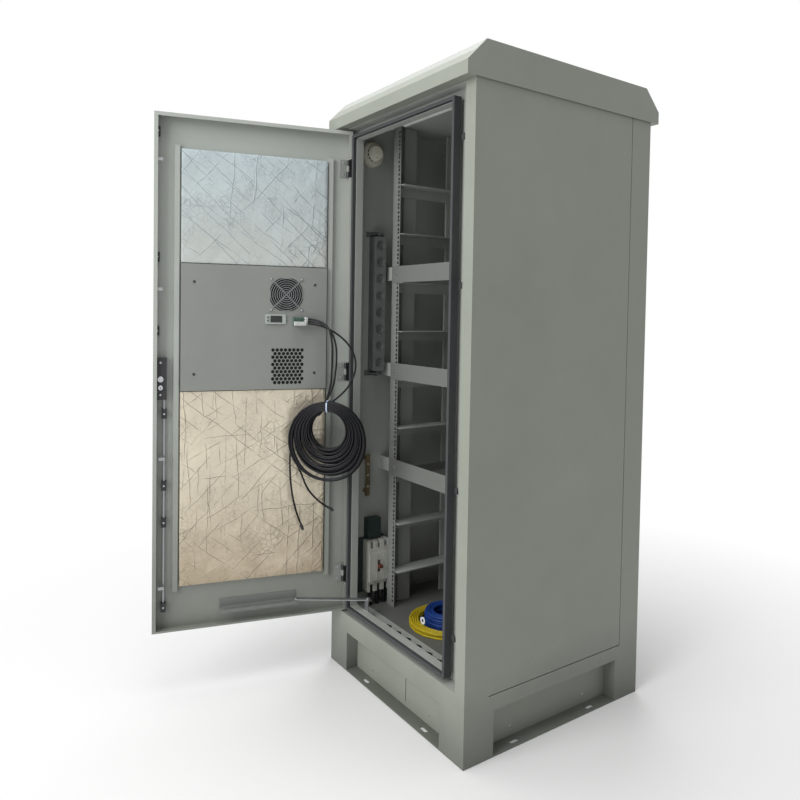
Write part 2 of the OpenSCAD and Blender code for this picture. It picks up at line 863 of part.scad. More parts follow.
module door_panel() {
    w = door_half_w;
    z_mid = ac_z + ac_h / 2;
    color(body_grey) on_door() difference() {
        union() {
            difference() {
                block(-w, w, front_y, rim_y, door_z0, door_z1);
                block(-w + sheet, w - sheet, skin_y, rim_y - sheet, door_z0 + sheet, door_z1 - sheet);
                block(-w + rim_w, w - rim_w, skin_y, rim_y + 1, door_z0 + rim_low, door_z1 - rim_w);
            }
            left_and_right() stiffener();
        }
        for (z = hinge_heights)
            block(-w - 1, -w + rim_w + 1, skin_y - 0.5, rim_y + 1, z - notch_h / 2, z + notch_h / 2);
        block(-casing_half_w, casing_half_w, front_y - 1, skin_y + 1,
            ac_z + casing_margin, ac_z + ac_h - casing_margin);
        round_along_y(lock_x, lock_z, front_y - 1, skin_y + 1, spindle_r + 3);
    }
}

module foil_pad(z0, z1) {
    color(foil_silver) on_door() block(-ac_half_w, ac_half_w, skin_y, skin_y + foil_t, z0, z1);
}

module foil_upper() {
    foil_pad(ac_z + ac_h + foil_gap, foil_high_z1);
}

module foil_lower() {
    foil_pad(foil_low_z0, ac_z - foil_gap);
}

// Air conditioner
module vent_holes() {
    row_pitch = vent_pitch * sqrt(3) / 2;
    for (row = [0 : vent_rows - 1]) {
        short = (row + 1) % 2;
        for (column = [0 : vent_columns - 1 - short])
            translate([vent_x + vent_r + (column + short / 2) * vent_pitch,
                vent_z + vent_r + row * row_pitch]) circle(r = vent_r, $fn = 24);
    }
}

// A round opening with four flat sides, as the fan's housing is square
module fan_opening() {
    translate([fan_x, fan_z]) intersection() {
        circle(r = fan_r + fan_corner);
        square(2 * fan_r, center = true);
    }
}

// The inner cover as a tray: a face with its openings and a rim back to the door skin
module ac_panel() {
    z1 = ac_z + ac_h;
    screen_clear = 2;
    color(body_grey) on_door() {
        translate([0, ac_face, 0]) rotate([90, 0, 0]) linear_extrude(sheet) difference() {
            translate([-ac_half_w, ac_z]) square([2 * ac_half_w, ac_h]);
            fan_opening();
            vent_holes();
            translate([display_x + screen_clear, display_z + screen_clear])
                square([display_w - 2 * screen_clear, display_h - 2 * screen_clear]);
        }
        difference() {
            block(-ac_half_w, ac_half_w, skin_y, ac_face - sheet, ac_z, z1);
            block(-ac_half_w + sheet, ac_half_w - sheet, skin_y - 1, ac_face, ac_z + sheet, z1 - sheet);
        }
    }
}

// A hood over a louvre slot, sloping out and down from the slot's top edge
module louvre_hood(length) {
    out = 10;
    drop = 11;
    hood_t = 1.5;
    along_x(length) polygon([[1, -hood_t], [-out, -drop], [-out, hood_t - drop], [1, hood_t]]);
}

module ac_casing() {
    z0 = ac_z + casing_margin;
    z1 = ac_z + ac_h - casing_margin;
    w = casing_half_w;
    slot_half = w - 35;
    pitch = 26;
    slot_open = 14;
    groups = [z0 + 35, z1 - 35 - 5 * pitch - slot_open];
    flange = 14;
    color(body_grey) on_door() {
        difference() {
            block(-w, w, front_y - casing_d, front_y, z0, z1);
            block(-w + sheet, w - sheet, front_y - casing_d + sheet, front_y + 1, z0 + sheet, z1 - sheet);
            for (z = groups, i = [0 : 5])
                block(-slot_half, slot_half, front_y - casing_d - 1, front_y - casing_d + sheet + 1,
                    z + i * pitch, z + i * pitch + slot_open);
        }
        for (z = groups, i = [0 : 5])
            translate([0, front_y - casing_d, z + i * pitch + slot_open]) louvre_hood(2 * slot_half + 2);
        difference() {
            block(-w - flange, w + flange, front_y - sheet, front_y, z0 - flange, z1 + flange);
            block(-w + sheet, w - sheet, front_y - sheet - 1, front_y + 1, z0 + sheet, z1 - sheet);
        }
    }
}

// The fan's housing is a square ring; a spider at its outer side carries the shaft
module fan_frame() {
    y1 = ac_face - sheet;
    y0 = y1 - fan_depth;
    strut = 8;
    color(black) on_door() translate([fan_x, 0, fan_z]) {
        translate([0, y1, 0]) rotate([90, 0, 0]) linear_extrude(fan_depth) difference() {
            square(2 * fan_half, center = true);
            circle(r = fan_r + 1);
        }
        translate([0, y0 + strut_t, 0]) rotate([90, 0, 0]) linear_extrude(strut_t) {
            circle(r = hub_r);
            for (turn = [0, 90]) rotate(turn) square([2 * fan_half - 2, strut], center = true);
        }
        round_along_y(0, 0, y0 + 1, y0 + strut_t + shaft_l, shaft_r);
    }
}

module fan_rotor() {
    y0 = ac_face - sheet - fan_depth + strut_t + slack;
    rotor_d = 26;
    blade_t = 2;
    blade_pitch = 38;
    clear = 2;
    color([0.1, 0.1, 0.11]) on_door() translate([fan_x, y0, fan_z]) difference() {
        union() {
            rotate([-90, 0, 0]) cylinder(h = rotor_d, r = hub_r);
            intersection() {
                rotate([-90, 0, 0]) cylinder(h = rotor_d, r = fan_r - clear);
                union() for (i = [0 : blade_count - 1])
                    rotate([0, i * 360 / blade_count, 0]) translate([hub_r - 3, rotor_d / 2, 0])
                        rotate([blade_pitch, 0, 0]) translate([0, -blade_t / 2, -rotor_d / 2])
                            cube([fan_r, blade_t, rotor_d]);
            }
        }
        rotate([-90, 0, 0]) translate([0, 0, -1]) cylinder(h = shaft_l + 1, r = shaft_r + running);
    }
}

module fan_guard() {
    ring_pitch = (fan_r - 4) / guard_rings;
    tab_r = fan_r * sqrt(2) - 4;
    color([0.55, 0.56, 0.57]) on_door()
        translate([fan_x, ac_face + guard_t, fan_z]) rotate([90, 0, 0]) linear_extrude(guard_t) {
            for (i = [1 : guard_rings]) difference() {
                circle(r = 4 + i * ring_pitch);
                circle(r = 4 + i * ring_pitch - guard_bar);
            }
            for (turn = [45, 135]) rotate(turn)
                square([2 * tab_r, 3], center = true);
            for (turn = [45 : 90 : 315]) rotate(turn)
                translate([tab_r, 0]) circle(r = 4.5);
        }
}

// The display's window, from the bezel's seat out to a given depth
module display_window(depth) {
    margin = 5;
    block(screen_x, screen_x + screen_w, ac_face + 1, ac_face + depth,
        display_z + margin, display_z + display_h - margin);
}

module display_bezel() {
    bezel_t = 5;
    inner = 2 + slack;
    hole_zs = [display_z + display_h / 3, display_z + 2 * display_h / 3];
    y0 = ac_face;
    color([0.78, 0.8, 0.78]) on_door() difference() {
        union() {
            block(display_x, display_x + display_w, y0, y0 + bezel_t, display_z, display_z + display_h);
            block(display_x + inner, display_x + display_w - inner, y0 - 12, y0,
                display_z + inner, display_z + display_h - inner);
        }
        display_window(bezel_t + 1);
        for (z = hole_zs)
            round_along_y(key_x, z, y0 - 4, y0 + bezel_t + 1, key_r + slack);
    }
}

module display_screen() {
    color([0.05, 0.07, 0.07]) on_door() display_window(4);
}

module display_key(z) {
    out = 1.8;
    color([0.3, 0.32, 0.33]) on_door()
        round_along_y(key_x, z, ac_face - 4 + key_travel + slack, ac_face + 5 + out, key_r);
}

module key_upper() {
    display_key(display_z + 2 * display_h / 3);
}

module key_lower() {
    display_key(display_z + display_h / 3);
}

module ac_terminals() {
    z0 = ac_z + 218;
    deep = 18;
    color([0.2, 0.45, 0.28]) on_door() difference() {
        block(terminal_x, terminal_x + terminal_w, ac_face, ac_face + deep, z0, z0 + 28);
        for (i = [0 : 3])
            block(terminal_x + 4 + i * 8, terminal_x + 8 + i * 8, ac_face + deep - 4, ac_face + deep + 1,
                z0 + 4, z0 + 24);
    }
}

// Stay
module stay_channel() {
    leg_h = 29;
    color(steel) on_door() {
        block(stay_x0, stay_x1, skin_y, skin_y + sheet, stay_z - sheet, stay_z - sheet + leg_h);
        difference() {
            block(stay_x0, stay_x1, skin_y, skin_y + stay_shelf_d, stay_z - sheet, stay_z);
            block(stay_x0 + 15, stay_x1 - 15, stay_line - 4.5, stay_line + 4.5,
                stay_z - 2 * sheet, stay_z + 1);
        }
        block(stay_x0, stay_x1, skin_y + stay_shelf_d - sheet, skin_y + stay_shelf_d,
            stay_z - 10, stay_z - sheet);
    }
}

module stay_arm() {
    eye_r = arm_w / 2;
    roller_r = 7;
    z0 = stay_z + 2;
    color(steel) translate([bracket_x, bracket_y, 0]) rotate(arm_angle) difference() {
        union() {
            block(0, arm_l, -arm_w / 2, arm_w / 2, z0, z0 + arm_t);
            translate([0, 0, z0]) cylinder(h = arm_t, r = eye_r);
            translate([arm_l, 0, z0]) cylinder(h = arm_t, r = eye_r);
            translate([arm_l, 0, stay_z + slack])
                cylinder(h = z0 + arm_t + 3 - stay_z - slack, r = roller_r);
        }
        translate([0, 0, z0 - 1]) cylinder(h = arm_t + 2, r = 4 + running);
    }
}

module stay_bracket() {
    foot_w = 34;
    foot_d = 24;
    upright_half = 11;
    plate = 3;
    stud_h = 8;
    y0 = landing_y + sheet - bracket_y;
    z1 = stay_z + 2 - slack;
    color(steel) translate([bracket_x, bracket_y, 0]) {
        block(-foot_w / 2, foot_w / 2, y0, foot_d, floor_z, floor_z + plate);
        block(-upright_half, upright_half, y0, y0 + plate, floor_z, z1);
        block(-upright_half, upright_half, y0, 10, z1 - plate, z1);
        translate([0, 0, z1 - plate]) cylinder(h = plate + stud_h, r = 4);
        translate([0, 0, stay_z + 2 + arm_t + slack]) cylinder(h = plate, r = 7);
    }
}

// Lock
module pinion() {
    root = pinion_r - tooth_down;
    tip = pinion_r + tooth_up;
    width = tooth_pitch * 0.4;
    linear_extrude(rod_t) {
        circle(r = root);
        for (i = [0 : pinion_teeth - 1]) rotate((i + 0.5) * 360 / pinion_teeth)
            polygon([[root - 0.5, -width * 0.65], [tip, -width * 0.28],
                [tip, width * 0.28], [root - 0.5, width * 0.65]]);
    }
}

// Handle hub with its spindle and pinion, and the fork that carries the lever
module handle_hub() {
    y_plate = front_y - plate_t;
    ear_t = 4;
    ear_z = 6;
    color(dark_grey) on_door() translate([lock_x, 0, lock_z]) {
        round_along_y(0, 0, y_plate - slack - hub_t, y_plate - slack, 15);
        round_along_y(0, 0, y_plate - slack, rod_y + rod_t + 2, spindle_r - 2);
        round_along_y(0, 0, y_plate - slack, skin_y, spindle_r);
        translate([0, rod_y + rod_t, 0]) rotate([90, 0, 0]) pinion();
        for (side = [-1, 1])
            translate([0, 0, side * (ear_z + ear_t / 2)]) {
                block(-5, 5, lever_pivot_y, y_plate - slack - hub_t + 0.5, -ear_t / 2, ear_t / 2);
                translate([0, lever_pivot_y, 0]) cylinder(h = ear_t, r = 5, center = true);
            }
        translate([0, lever_pivot_y, 0]) cylinder(h = 2 * (ear_z + ear_t), r = pin_r, center = true);
    }
}

module handle_lever() {
    eye_h = 11.4;
    tip_h = 16;
    color(dark_grey) on_door() translate([lock_x, lever_pivot_y, lock_z]) difference() {
        union() {
            cylinder(h = eye_h, r = lever_t / 2, center = true);
            block(-24, 0, -lever_t / 2, lever_t / 2, -eye_h / 2, eye_h / 2);
            block(-lever_l, -20, -lever_t / 2, lever_t / 2, -tip_h, tip_h);
        }
        cylinder(h = eye_h + 2, r = pin_r + running, center = true);
        translate([-lever_l / 2 - 10, 0, 0]) rotate([90, 0, 0])
            cylinder(h = lever_t + 2, r = 7, center = true);
    }
}

module handle_plate() {
    half = 18;
    color(dark_grey) on_door() difference() {
        block(lock_x - half, lock_x + half, front_y - plate_t, front_y, lock_z - 82, lock_z + 68);
        round_along_y(lock_x, lock_z, front_y - plate_t - 1, front_y + 1, spindle_r + running);
    }
}

module lock_case() {
    half = 19;
    y1 = skin_y + lock_case_t;
    bar0 = rod_offset - 0.5;
    bar1 = rod_offset + rod_w + 0.5;
    color(black) on_door() translate([lock_x, 0, 0]) difference() {
        block(-half, half, skin_y, y1, lock_case_z0, lock_case_z1);
        block(-half + sheet, half - sheet, skin_y - 1, y1 - sheet,
            lock_case_z0 + sheet, lock_case_z1 - sheet);
        block(bar0, bar1, rod_y - 0.5, rod_y + rod_t + 0.5, lock_case_z1 - sheet - 1, lock_case_z1 + 1);
        block(-bar1, -bar0, rod_y - 0.5, rod_y + rod_t + 0.5, lock_case_z0 - 1, lock_case_z0 + sheet + 1);
    }
}

// A rod with its rack and tongues, drawn for the upper rod with the spindle at the origin
module lock_rod(end, keepers) {
    rack_low = -26;
    width = tooth_pitch * 0.4;
    hook_x = rod_offset - 14;
    block(rod_offset, rod_offset + rod_w, rod_y, rod_y + rod_t, rack_low, end);
    translate([rod_offset, rod_y + rod_t, 0]) rotate([90, 0, 0]) linear_extrude(rod_t)
        for (i = [-4 : 1]) translate([0, i * tooth_pitch])
            polygon([[0.5, -width * 0.7], [-tooth_up - tooth_down, -width * 0.3],
                [-tooth_up - tooth_down, width * 0.3], [0.5, width * 0.7]]);
    for (z = keepers) {
        block(rod_offset, rod_offset + rod_w, rod_y + rod_t - 1, tongue_y + 3, z - tongue_h - 6, z - 6);
        block(hook_x, rod_offset + rod_w, tongue_y, tongue_y + 3, z - tongue_h - 6, z - 6);
    }
}

module upper_rod() {
    ends = upper_guides[len(upper_guides) - 1] + rod_past_guide - lock_z;
    color(steel) on_door() translate([lock_x, 0, lock_z])
        lock_rod(ends, [for (z = upper_keepers) z - lock_z]);
}

// The lower rod is the upper one turned half round the spindle
module lower_rod() {
    ends = lock_z - lower_guides[0] + rod_past_guide;
    color(steel) on_door() translate([lock_x, 0, lock_z]) rotate([0, 180, 0])
        lock_rod(ends, [for (z = lower_keepers) lock_z - z]);
}

module rod_guide() {
    side = 5.5;
    high = 15;
    difference() {
        block(rod_offset - side, rod_offset + rod_w + side, skin_y, rod_y + rod_t + 5, -high, high);
        block(rod_offset - slack, rod_offset + rod_w + slack, rod_y - slack, rod_y + rod_t + slack,
            -high - 1, high + 1);
    }
}

module rod_guides() {
    color(black) on_door() {
        for (z = upper_guides) translate([lock_x, 0, z]) rod_guide();
        for (z = lower_guides) translate([lock_x, 0, z]) mirror([1, 0, 0]) rod_guide();
    }
}

// A keeper on the landing, drawn for the upper rod: the tongue rises behind its plate
module keeper() {
    hook_x = rod_offset - 14;
    foot_h = 22;
    block(hook_x, rod_offset - 1, keeper_y - keeper_t, keeper_y, -5, 14);
    block(hook_x, rod_offset - 1, keeper_y - keeper_t, landing_y, 8, 14);
    block(hook_x - 2, rod_offset + 1, landing_y - 3, landing_y, 8, 8 + foot_h);
}

module latch_keepers() {
    color(black) {
        for (z = upper_keepers) translate([lock_x, 0, z]) keeper();
        for (z = lower_keepers) translate([lock_x, 0, z]) mirror([0, 0, 1]) mirror([1, 0, 0]) keeper();
    }
}

// Loose coils on the floor
module flat_coil(r, w, h, tint) {
    bevel = h / 4;
    color(tint) translate([coil_x, coil_y, floor_z]) rotate_extrude($fn = 72)
        polygon([[r - w, 0], [r, 0], [r, h - bevel], [r - bevel, h],
            [r - w + bevel, h], [r - w, h - bevel]]);
}

module yellow_coil() {
    flat_coil(yellow_r, yellow_w, yellow_h, [0.75, 0.68, 0.1]);
}

module blue_coil() {
    flat_coil(blue_r, blue_w, blue_h, [0.08, 0.2, 0.55]);
}

module ring_lug() {
    color(steel) translate([coil_x + lug_r, coil_y - yellow_r + yellow_w / 2, floor_z + yellow_h + lug_r])
        rotate([90, 0, 0]) difference() {
            cylinder(h = 2, r = lug_r);
            translate([0, 0, -1]) cylinder(h = 4, r = lug_r / 2);
        }
}

// Cables on the door
function spline_point(p, i, u) =
    let (a = p[max(i - 1, 0)], b = p[i], c = p[i + 1], d = p[min(i + 2, len(p) - 1)])
    0.5 * (2 * b + (c - a) * u + (2 * a - 5 * b + 4 * c - d) * u * u + (3 * b - a - 3 * c + d) * u * u * u);
function smooth(p, steps) = concat(
    [for (i = [0 : len(p) - 2], k = [0 : steps - 1]) spline_point(p, i, k / steps)], [p[len(p) - 1]]);
function unit(v) = v / norm(v);
function ring(p, i, r) =
    let (along = unit(p[min(i + 1, len(p) - 1)] - p[max(i - 1, 0)]),
        side = unit(cross(along, [0, 1, 0])), over = cross(side, along))
    [for (k = [0 : lead_sides - 1])
        p[i] + r * (cos(k * 360 / lead_sides) * side + sin(k * 360 / lead_sides) * over)];

module tube(route, r) {
    path = smooth(route, 2);
    count = len(path);
    points = [for (i = [0 : count - 1]) each ring(path, i, r)];
    n = lead_sides;
    sides = [for (i = [0 : count - 2], k = [0 : n - 1])
        [i * n + k, i * n + (k + 1) % n, (i + 1) * n + (k + 1) % n, (i + 1) * n + k]];
    first_end = [for (k = [0 : n - 1]) n - 1 - k];
    last_end = [for (k = [0 : n - 1]) (count - 1) * n + k];
    polyhedron(points, concat(sides, [first_end, last_end]));
}

// From the door's own directions to the closed door's place
module along_door() {
    on_door() translate([-door_half_w, front_y, 0]) children();
}

module door_cables() {
    color(black) along_door() {
        tube(lead_left, lead_r);
        tube(lead_middle, lead_r);
        tube(lead_right, lead_r);
        tube(tail_long, lead_r);
        tube(tail_short, lead_r);
    }
}

module cable_coil() {
    color(black) along_door() translate([coil_s, coil_in, 0]) rotate(-coil_turn) rotate([90, 0, 0])
        linear_extrude(coil_t, center = true) difference() {
            translate([0, coil_z]) circle(r = coil_r, $fn = 72);
            translate([0, coil_hole_z]) circle(r = coil_hole_r);
        }
}

plinth_frame();
kick_panels();
front_posts();
rear_posts();
front_sill();
front_header();
wall_sills();
side_panel_left();
side_panel_right();
rear_panel();
floor_plate();
gland_plate();
top_plate();
roof_cap();
roof_rails();
door_seal();
rack_uprights();
rack_rails();
shelves();
equipment_plate();
smoke_detector();
socket_strip();
earth_bar();
breaker_base();
breaker_case();
breaker_cables();
ceiling_lamp();
latch_keepers();
frame_hinges();
hinge_pins();
stay_bracket();
yellow_coil();
blue_coil();
ring_lug();
door_panel();
foil_upper();
foil_lower();
door_hinges();
ac_panel();
ac_casing();
fan_frame();
fan_guard();
display_bezel();
display_screen();
ac_terminals();
stay_channel();
lock_case();
rod_guides();
handle_plate();
door_cables();
cable_coil();
fan_rotor();
handle_hub();
handle_lever();
upper_rod();
lower_rod();
stay_arm();
breaker_toggle();
key_upper();
key_lower();
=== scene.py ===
"""Dresses the roadside cabinet: finishes, cables, foil pads, fasteners, and a studio stage."""

import json
import math
import random

import bmesh
import bpy
from bpy.props import FloatProperty, FloatVectorProperty, IntProperty, PointerProperty
from mathutils import Matrix, Vector


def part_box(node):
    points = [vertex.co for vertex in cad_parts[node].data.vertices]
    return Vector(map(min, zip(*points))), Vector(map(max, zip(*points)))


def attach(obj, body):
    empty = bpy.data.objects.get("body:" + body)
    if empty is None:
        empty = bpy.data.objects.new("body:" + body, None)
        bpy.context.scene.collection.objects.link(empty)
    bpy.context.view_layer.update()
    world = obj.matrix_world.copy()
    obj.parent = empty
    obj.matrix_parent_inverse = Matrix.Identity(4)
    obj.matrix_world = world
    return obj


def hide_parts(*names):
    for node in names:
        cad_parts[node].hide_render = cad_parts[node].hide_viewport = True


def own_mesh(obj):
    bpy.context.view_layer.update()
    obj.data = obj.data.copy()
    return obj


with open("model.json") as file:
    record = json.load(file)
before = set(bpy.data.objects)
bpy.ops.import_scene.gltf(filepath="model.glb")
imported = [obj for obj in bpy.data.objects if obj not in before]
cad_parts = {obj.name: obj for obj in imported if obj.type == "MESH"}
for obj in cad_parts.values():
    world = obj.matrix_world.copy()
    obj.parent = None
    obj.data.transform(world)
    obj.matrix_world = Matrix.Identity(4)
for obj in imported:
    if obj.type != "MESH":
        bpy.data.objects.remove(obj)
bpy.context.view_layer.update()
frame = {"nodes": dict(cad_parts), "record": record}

bl_info = {
    "name": "Roadside Cabinet Dressing",
    "version": (1, 0, 0),
    "blender": (4, 5, 0),
    "location": "View3D > Sidebar > Cabinet",
    "description": "Finishes, cables, foil and fasteners of an outdoor equipment cabinet",
    "category": "Object",
}

MM = 0.001

# Door: the hinge axis and the angle at which the stay holds it
HINGE = Vector((-0.316, -0.366, 0.0))
DOOR_OPEN = math.radians(105)
DOOR_TURN = (
    Matrix.Translation(HINGE)
    @ Matrix.Rotation(-DOOR_OPEN, 4, "Z")
    @ Matrix.Translation(-HINGE)
)

# Planes and places of the closed door and of the body
FRONT_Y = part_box("front_posts")[0][1]
HALF_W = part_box("front_posts")[1][0]
DOOR_EDGE_X = -0.325
SKIN_Y = FRONT_Y + 2 * MM
AC_FACE_Y = SKIN_Y + 24 * MM
LOCK_FACE_Y = SKIN_Y + 21 * MM
LANDING_Y = FRONT_Y + 40 * MM
FLOOR_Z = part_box("floor_plate")[1][2]
KICK_SETBACK = 45 * MM
HINGE_HEIGHTS = (0.331, 1.049, 1.760)
HINGE_SCREW_RISE = 20 * MM
LOCK_X = 0.302
LOCK_Z = 1.032
ROD_OFFSET = 12 * MM
UPPER_GUIDES = (1.189, 1.427, 1.828)
LOWER_GUIDES = (0.283, 0.563, 0.684, 0.919)
FAN_X = -0.101
FAN_Z = 1.315
SHELF_HEIGHTS = (0.677, 1.022, 1.367)
PAD_HALF_W = 0.241
PAD_THICK = 18 * MM
UPPER_PAD = (1.412, 1.778)
LOWER_PAD = (0.349, 0.990)

# Routes of the door's cables in the door's own directions, as in the part's source:
# along the door from its hinge edge, in from its front, and up, in millimetres
LEAD_LEFT = [(166, 36, 1234), (140, 46, 1232), (112, 66, 1224), (92, 88, 1204), (84, 102, 1166),
             (82, 110, 1120), (85, 114, 1060), (90, 115, 1005), (94, 114, 956)]
LEAD_MIDDLE = [(166, 36, 1226), (138, 50, 1224), (106, 74, 1214), (84, 98, 1190), (72, 112, 1150),
               (70, 119, 1104), (74, 121, 1050), (84, 119, 1000), (90, 116, 956)]
LEAD_RIGHT = [(166, 36, 1218), (136, 54, 1216), (96, 78, 1204), (58, 100, 1180), (26, 116, 1146),
              (8, 126, 1104), (8, 130, 1060), (26, 129, 1016), (56, 124, 980), (80, 118, 952)]
TAIL_LONG = [(202, 48, 806), (209, 45, 770), (209, 44, 730), (206, 44, 680), (198, 44, 624),
             (185, 44, 572), (168, 44, 526)]
TAIL_SHORT = [(180, 62, 740), (172, 64, 704), (156, 66, 664), (132, 68, 630), (104, 70, 604), (78, 72, 586)]

# Tied coil of the leads, in millimetres: a bundle at the tie that opens into hanging turns
COIL_CENTRE = (95, 114)
COIL_TURN = math.radians(32)
COIL_TOP = 957
COIL_BUNDLE = 31
COIL_INNER_R = 62
COIL_OUTER_R = 136
LEAD_COUNT = 3


class CabinetFinish(bpy.types.PropertyGroup):
    """Colours and small sizes of the cabinet's finishes."""

    body_colour: FloatVectorProperty(
        name="Body paint", description="Powder coat of the body", subtype="COLOR",
        size=3, min=0, max=1, default=(0.25, 0.268, 0.23))
    inner_colour: FloatVectorProperty(
        name="Inner paint", description="Powder coat of the rack and inner plates", subtype="COLOR",
        size=3, min=0, max=1, default=(0.36, 0.375, 0.35))
    # Painted light: the door's inside is a paler copy of the body's powder coat, standing in for the light
    # that falls on it.
    door_lit_colour: FloatVectorProperty(
        name="Door paint", description="Powder coat of the door's inside, less weathered", subtype="COLOR",
        size=3, min=0, max=1, default=(0.385, 0.41, 0.378))
    foil_upper_colour: FloatVectorProperty(
        name="Upper foil", description="Foil of the upper insulation pad", subtype="COLOR",
        size=3, min=0, max=1, default=(0.45, 0.52, 0.54))
    foil_lower_colour: FloatVectorProperty(
        name="Lower foil", description="Foil of the lower insulation pad", subtype="COLOR",
        size=3, min=0, max=1, default=(0.64, 0.58, 0.46))
    edge_round: FloatProperty(
        name="Edge rounding", description="Rounding of folded sheet edges", subtype="DISTANCE",
        unit="LENGTH", min=0.0, max=0.003, default=0.0008)


class CabinetCables(bpy.types.PropertyGroup):
    """Sizes of the loose cables."""

    lead_diameter: FloatProperty(
        name="Lead diameter", description="Diameter of the black leads on the door",
        subtype="DISTANCE", unit="LENGTH", min=0.004, max=0.008, default=0.0065)
    coil_turns: IntProperty(
        name="Turns", description="Turns of each lead in the tied coil", min=4, max=12, default=12)


class CabinetStage(bpy.types.PropertyGroup):
    """Floor and light."""

    floor_colour: FloatVectorProperty(
        name="Floor", description="Colour of the studio floor", subtype="COLOR",
        size=3, min=0, max=1, default=(0.78, 0.78, 0.78))
    key_power: FloatProperty(
        name="Key light", description="Power of the lamp in front of the door", unit="POWER",
        min=0, max=2000, default=163)
    sky_level: FloatProperty(
        name="Sky light", description="Strength of the even light from all round",
        min=0, max=2, default=0.38)


# Places and routes


def door_point(along, inward, height):
    """A place on the open door, from millimetres along it, in from its front, and up."""
    closed = Vector((DOOR_EDGE_X + along * MM, FRONT_Y + inward * MM, height * MM))
    return DOOR_TURN @ closed


def on_door(x, y, z):
    """A place on the closed door, carried to the open one, with its Z axis pointing in from the door."""
    return DOOR_TURN @ Matrix.Translation((x, y, z)) @ Matrix.Rotation(-math.pi / 2, 4, "X")


def facing(place, direction):
    """A place whose Z axis points in a direction."""
    return Matrix.Translation(place) @ Vector(direction).to_track_quat("Z", "Y").to_matrix().to_4x4()


def smooth_route(points, steps):
    """Points on one smooth curve through the given points."""
    count = len(points)
    path = []
    for i in range(count - 1):
        before = points[max(i - 1, 0)]
        start = points[i]
        end = points[i + 1]
        after = points[min(i + 2, count - 1)]
        for k in range(steps):
            u = k / steps
            path.append(0.5 * (2 * start + (end - before) * u
                               + (2 * before - 5 * start + 4 * end - after) * u ** 2
                               + (3 * start - before - 3 * end + after) * u ** 3))
    path.append(points[-1])
    return path


# Pieces


FINISHES = {}


def riding_piece(name, mesh, finish, body):
    """An object of a mesh with a finish, riding on a body; the record's slot may have another name."""
    mesh.materials.clear()
    mesh.materials.append(FINISHES[finish])
    piece = bpy.data.objects.new(name, mesh)
    bpy.context.scene.collection.objects.link(piece)
    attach(piece, body)
    return piece


def cable_piece(name, path, diameter, finish, body):
    """A round cable along a path, swept as a curve and kept as a mesh."""
    curve = bpy.data.curves.new(name, "CURVE")
    curve.dimensions = "3D"
    curve.bevel_depth = diameter / 2
    curve.bevel_resolution = 3
    curve.use_fill_caps = True
    spline = curve.splines.new("POLY")
    spline.points.add(len(path) - 1)
    for point, place in zip(spline.points, path):
        point.co = (*place, 1.0)
    spline.use_smooth = True
    sweep = bpy.data.objects.new(name + "_sweep", curve)
    bpy.context.scene.collection.objects.link(sweep)
    swept = sweep.evaluated_get(bpy.context.evaluated_depsgraph_get())
    mesh = bpy.data.meshes.new_from_object(swept)
    bpy.data.objects.remove(sweep)
    mesh.shade_smooth()
    return riding_piece(name, mesh, finish, body)


def mesh_piece(name, source, finish, body, smooth=True):
    """A piece from a bmesh, with its sharp edges kept."""
    mesh = bpy.data.meshes.new(name)
    bmesh.ops.recalc_face_normals(source, faces=source.faces)
    source.to_mesh(mesh)
    source.free()
    if smooth:
        mesh.shade_smooth()
        mesh.set_sharp_from_angle(angle=math.radians(35))
    return riding_piece(name, mesh, finish, body)


def add_lathe(target, profile, place, segments, unit=MM):
    """Turns a profile of radius and height, in a unit, about Z and puts it at a place."""
    rings = []
    for profile_radius, profile_height in profile:
        radius = profile_radius * unit
        height = profile_height * unit
        if radius == 0:
            rings.append([target.verts.new(place @ Vector((0, 0, height)))])
            continue
        ring = []
        for k in range(segments):
            a = 2 * math.pi * k / segments
            point = Vector((radius * math.cos(a), radius * math.sin(a), height))
            ring.append(target.verts.new(place @ point))
        rings.append(ring)
    for low, high in zip(rings, rings[1:]):
        for k in range(segments):
            n = (k + 1) % segments
            if len(low) == 1:
                target.faces.new((low[0], high[n], high[k]))
            elif len(high) == 1:
                target.faces.new((low[k], low[n], high[0]))
            else:
                target.faces.new((low[k], low[n], high[n], high[k]))


def add_block(target, low, high, place=Matrix.Identity(4), bevel=0.0):
    """A block between two corners, with rounded edges where a bevel is given."""
    size = Vector(high) - Vector(low)
    middle = (Vector(high) + Vector(low)) / 2
    made = bmesh.ops.create_cube(target, size=1.0,
                                 matrix=place @ Matrix.Translation(middle) @ Matrix.Diagonal((*size, 1)))
    if bevel > 0:
        edges = {e for v in made["verts"] for e in v.link_edges}
        bmesh.ops.bevel(target, geom=list(edges), offset=bevel, segments=2, affect="EDGES")


def add_screw(target, place, radius):
    """A pan-head screw with a hexagon socket, its profile in shares of the radius."""
    head = [(1.0, 0.0), (1.0, 0.32), (0.88, 0.52), (0.62, 0.62), (0.42, 0.62)]
    add_lathe(target, head, place, 18, radius)
    socket = [(0.42, 0.62), (0.42, 0.25), (0.0, 0.25)]
    add_lathe(target, socket, place, 6, radius)


# Nodes of the finishes


def new_finish(name):
    """A new material, its node tree and its shader."""
    material = bpy.data.materials.new(name)
    material.use_nodes = True
    tree = material.node_tree
    return material, tree, tree.nodes["Principled BSDF"]


def new_node(tree, kind, inputs):
    """A new node with a value or a link in each of the given inputs."""
    node = tree.nodes.new(kind)
    for name, value in inputs.items():
        if isinstance(value, bpy.types.NodeSocket):
            tree.links.new(value, node.inputs[name])
        else:
            node.inputs[name].default_value = value
    return node


def texture_place(tree, stretch=(1.0, 1.0, 1.0), turn=0.0):
    """Texture places on the object, stretched, and turned about the upright axis."""
    coords = tree.nodes.new("ShaderNodeTexCoord")
    mapping = new_node(tree, "ShaderNodeMapping", {
        "Vector": coords.outputs["Object"], "Rotation": (0, 0, turn), "Scale": stretch})
    return mapping.outputs["Vector"]


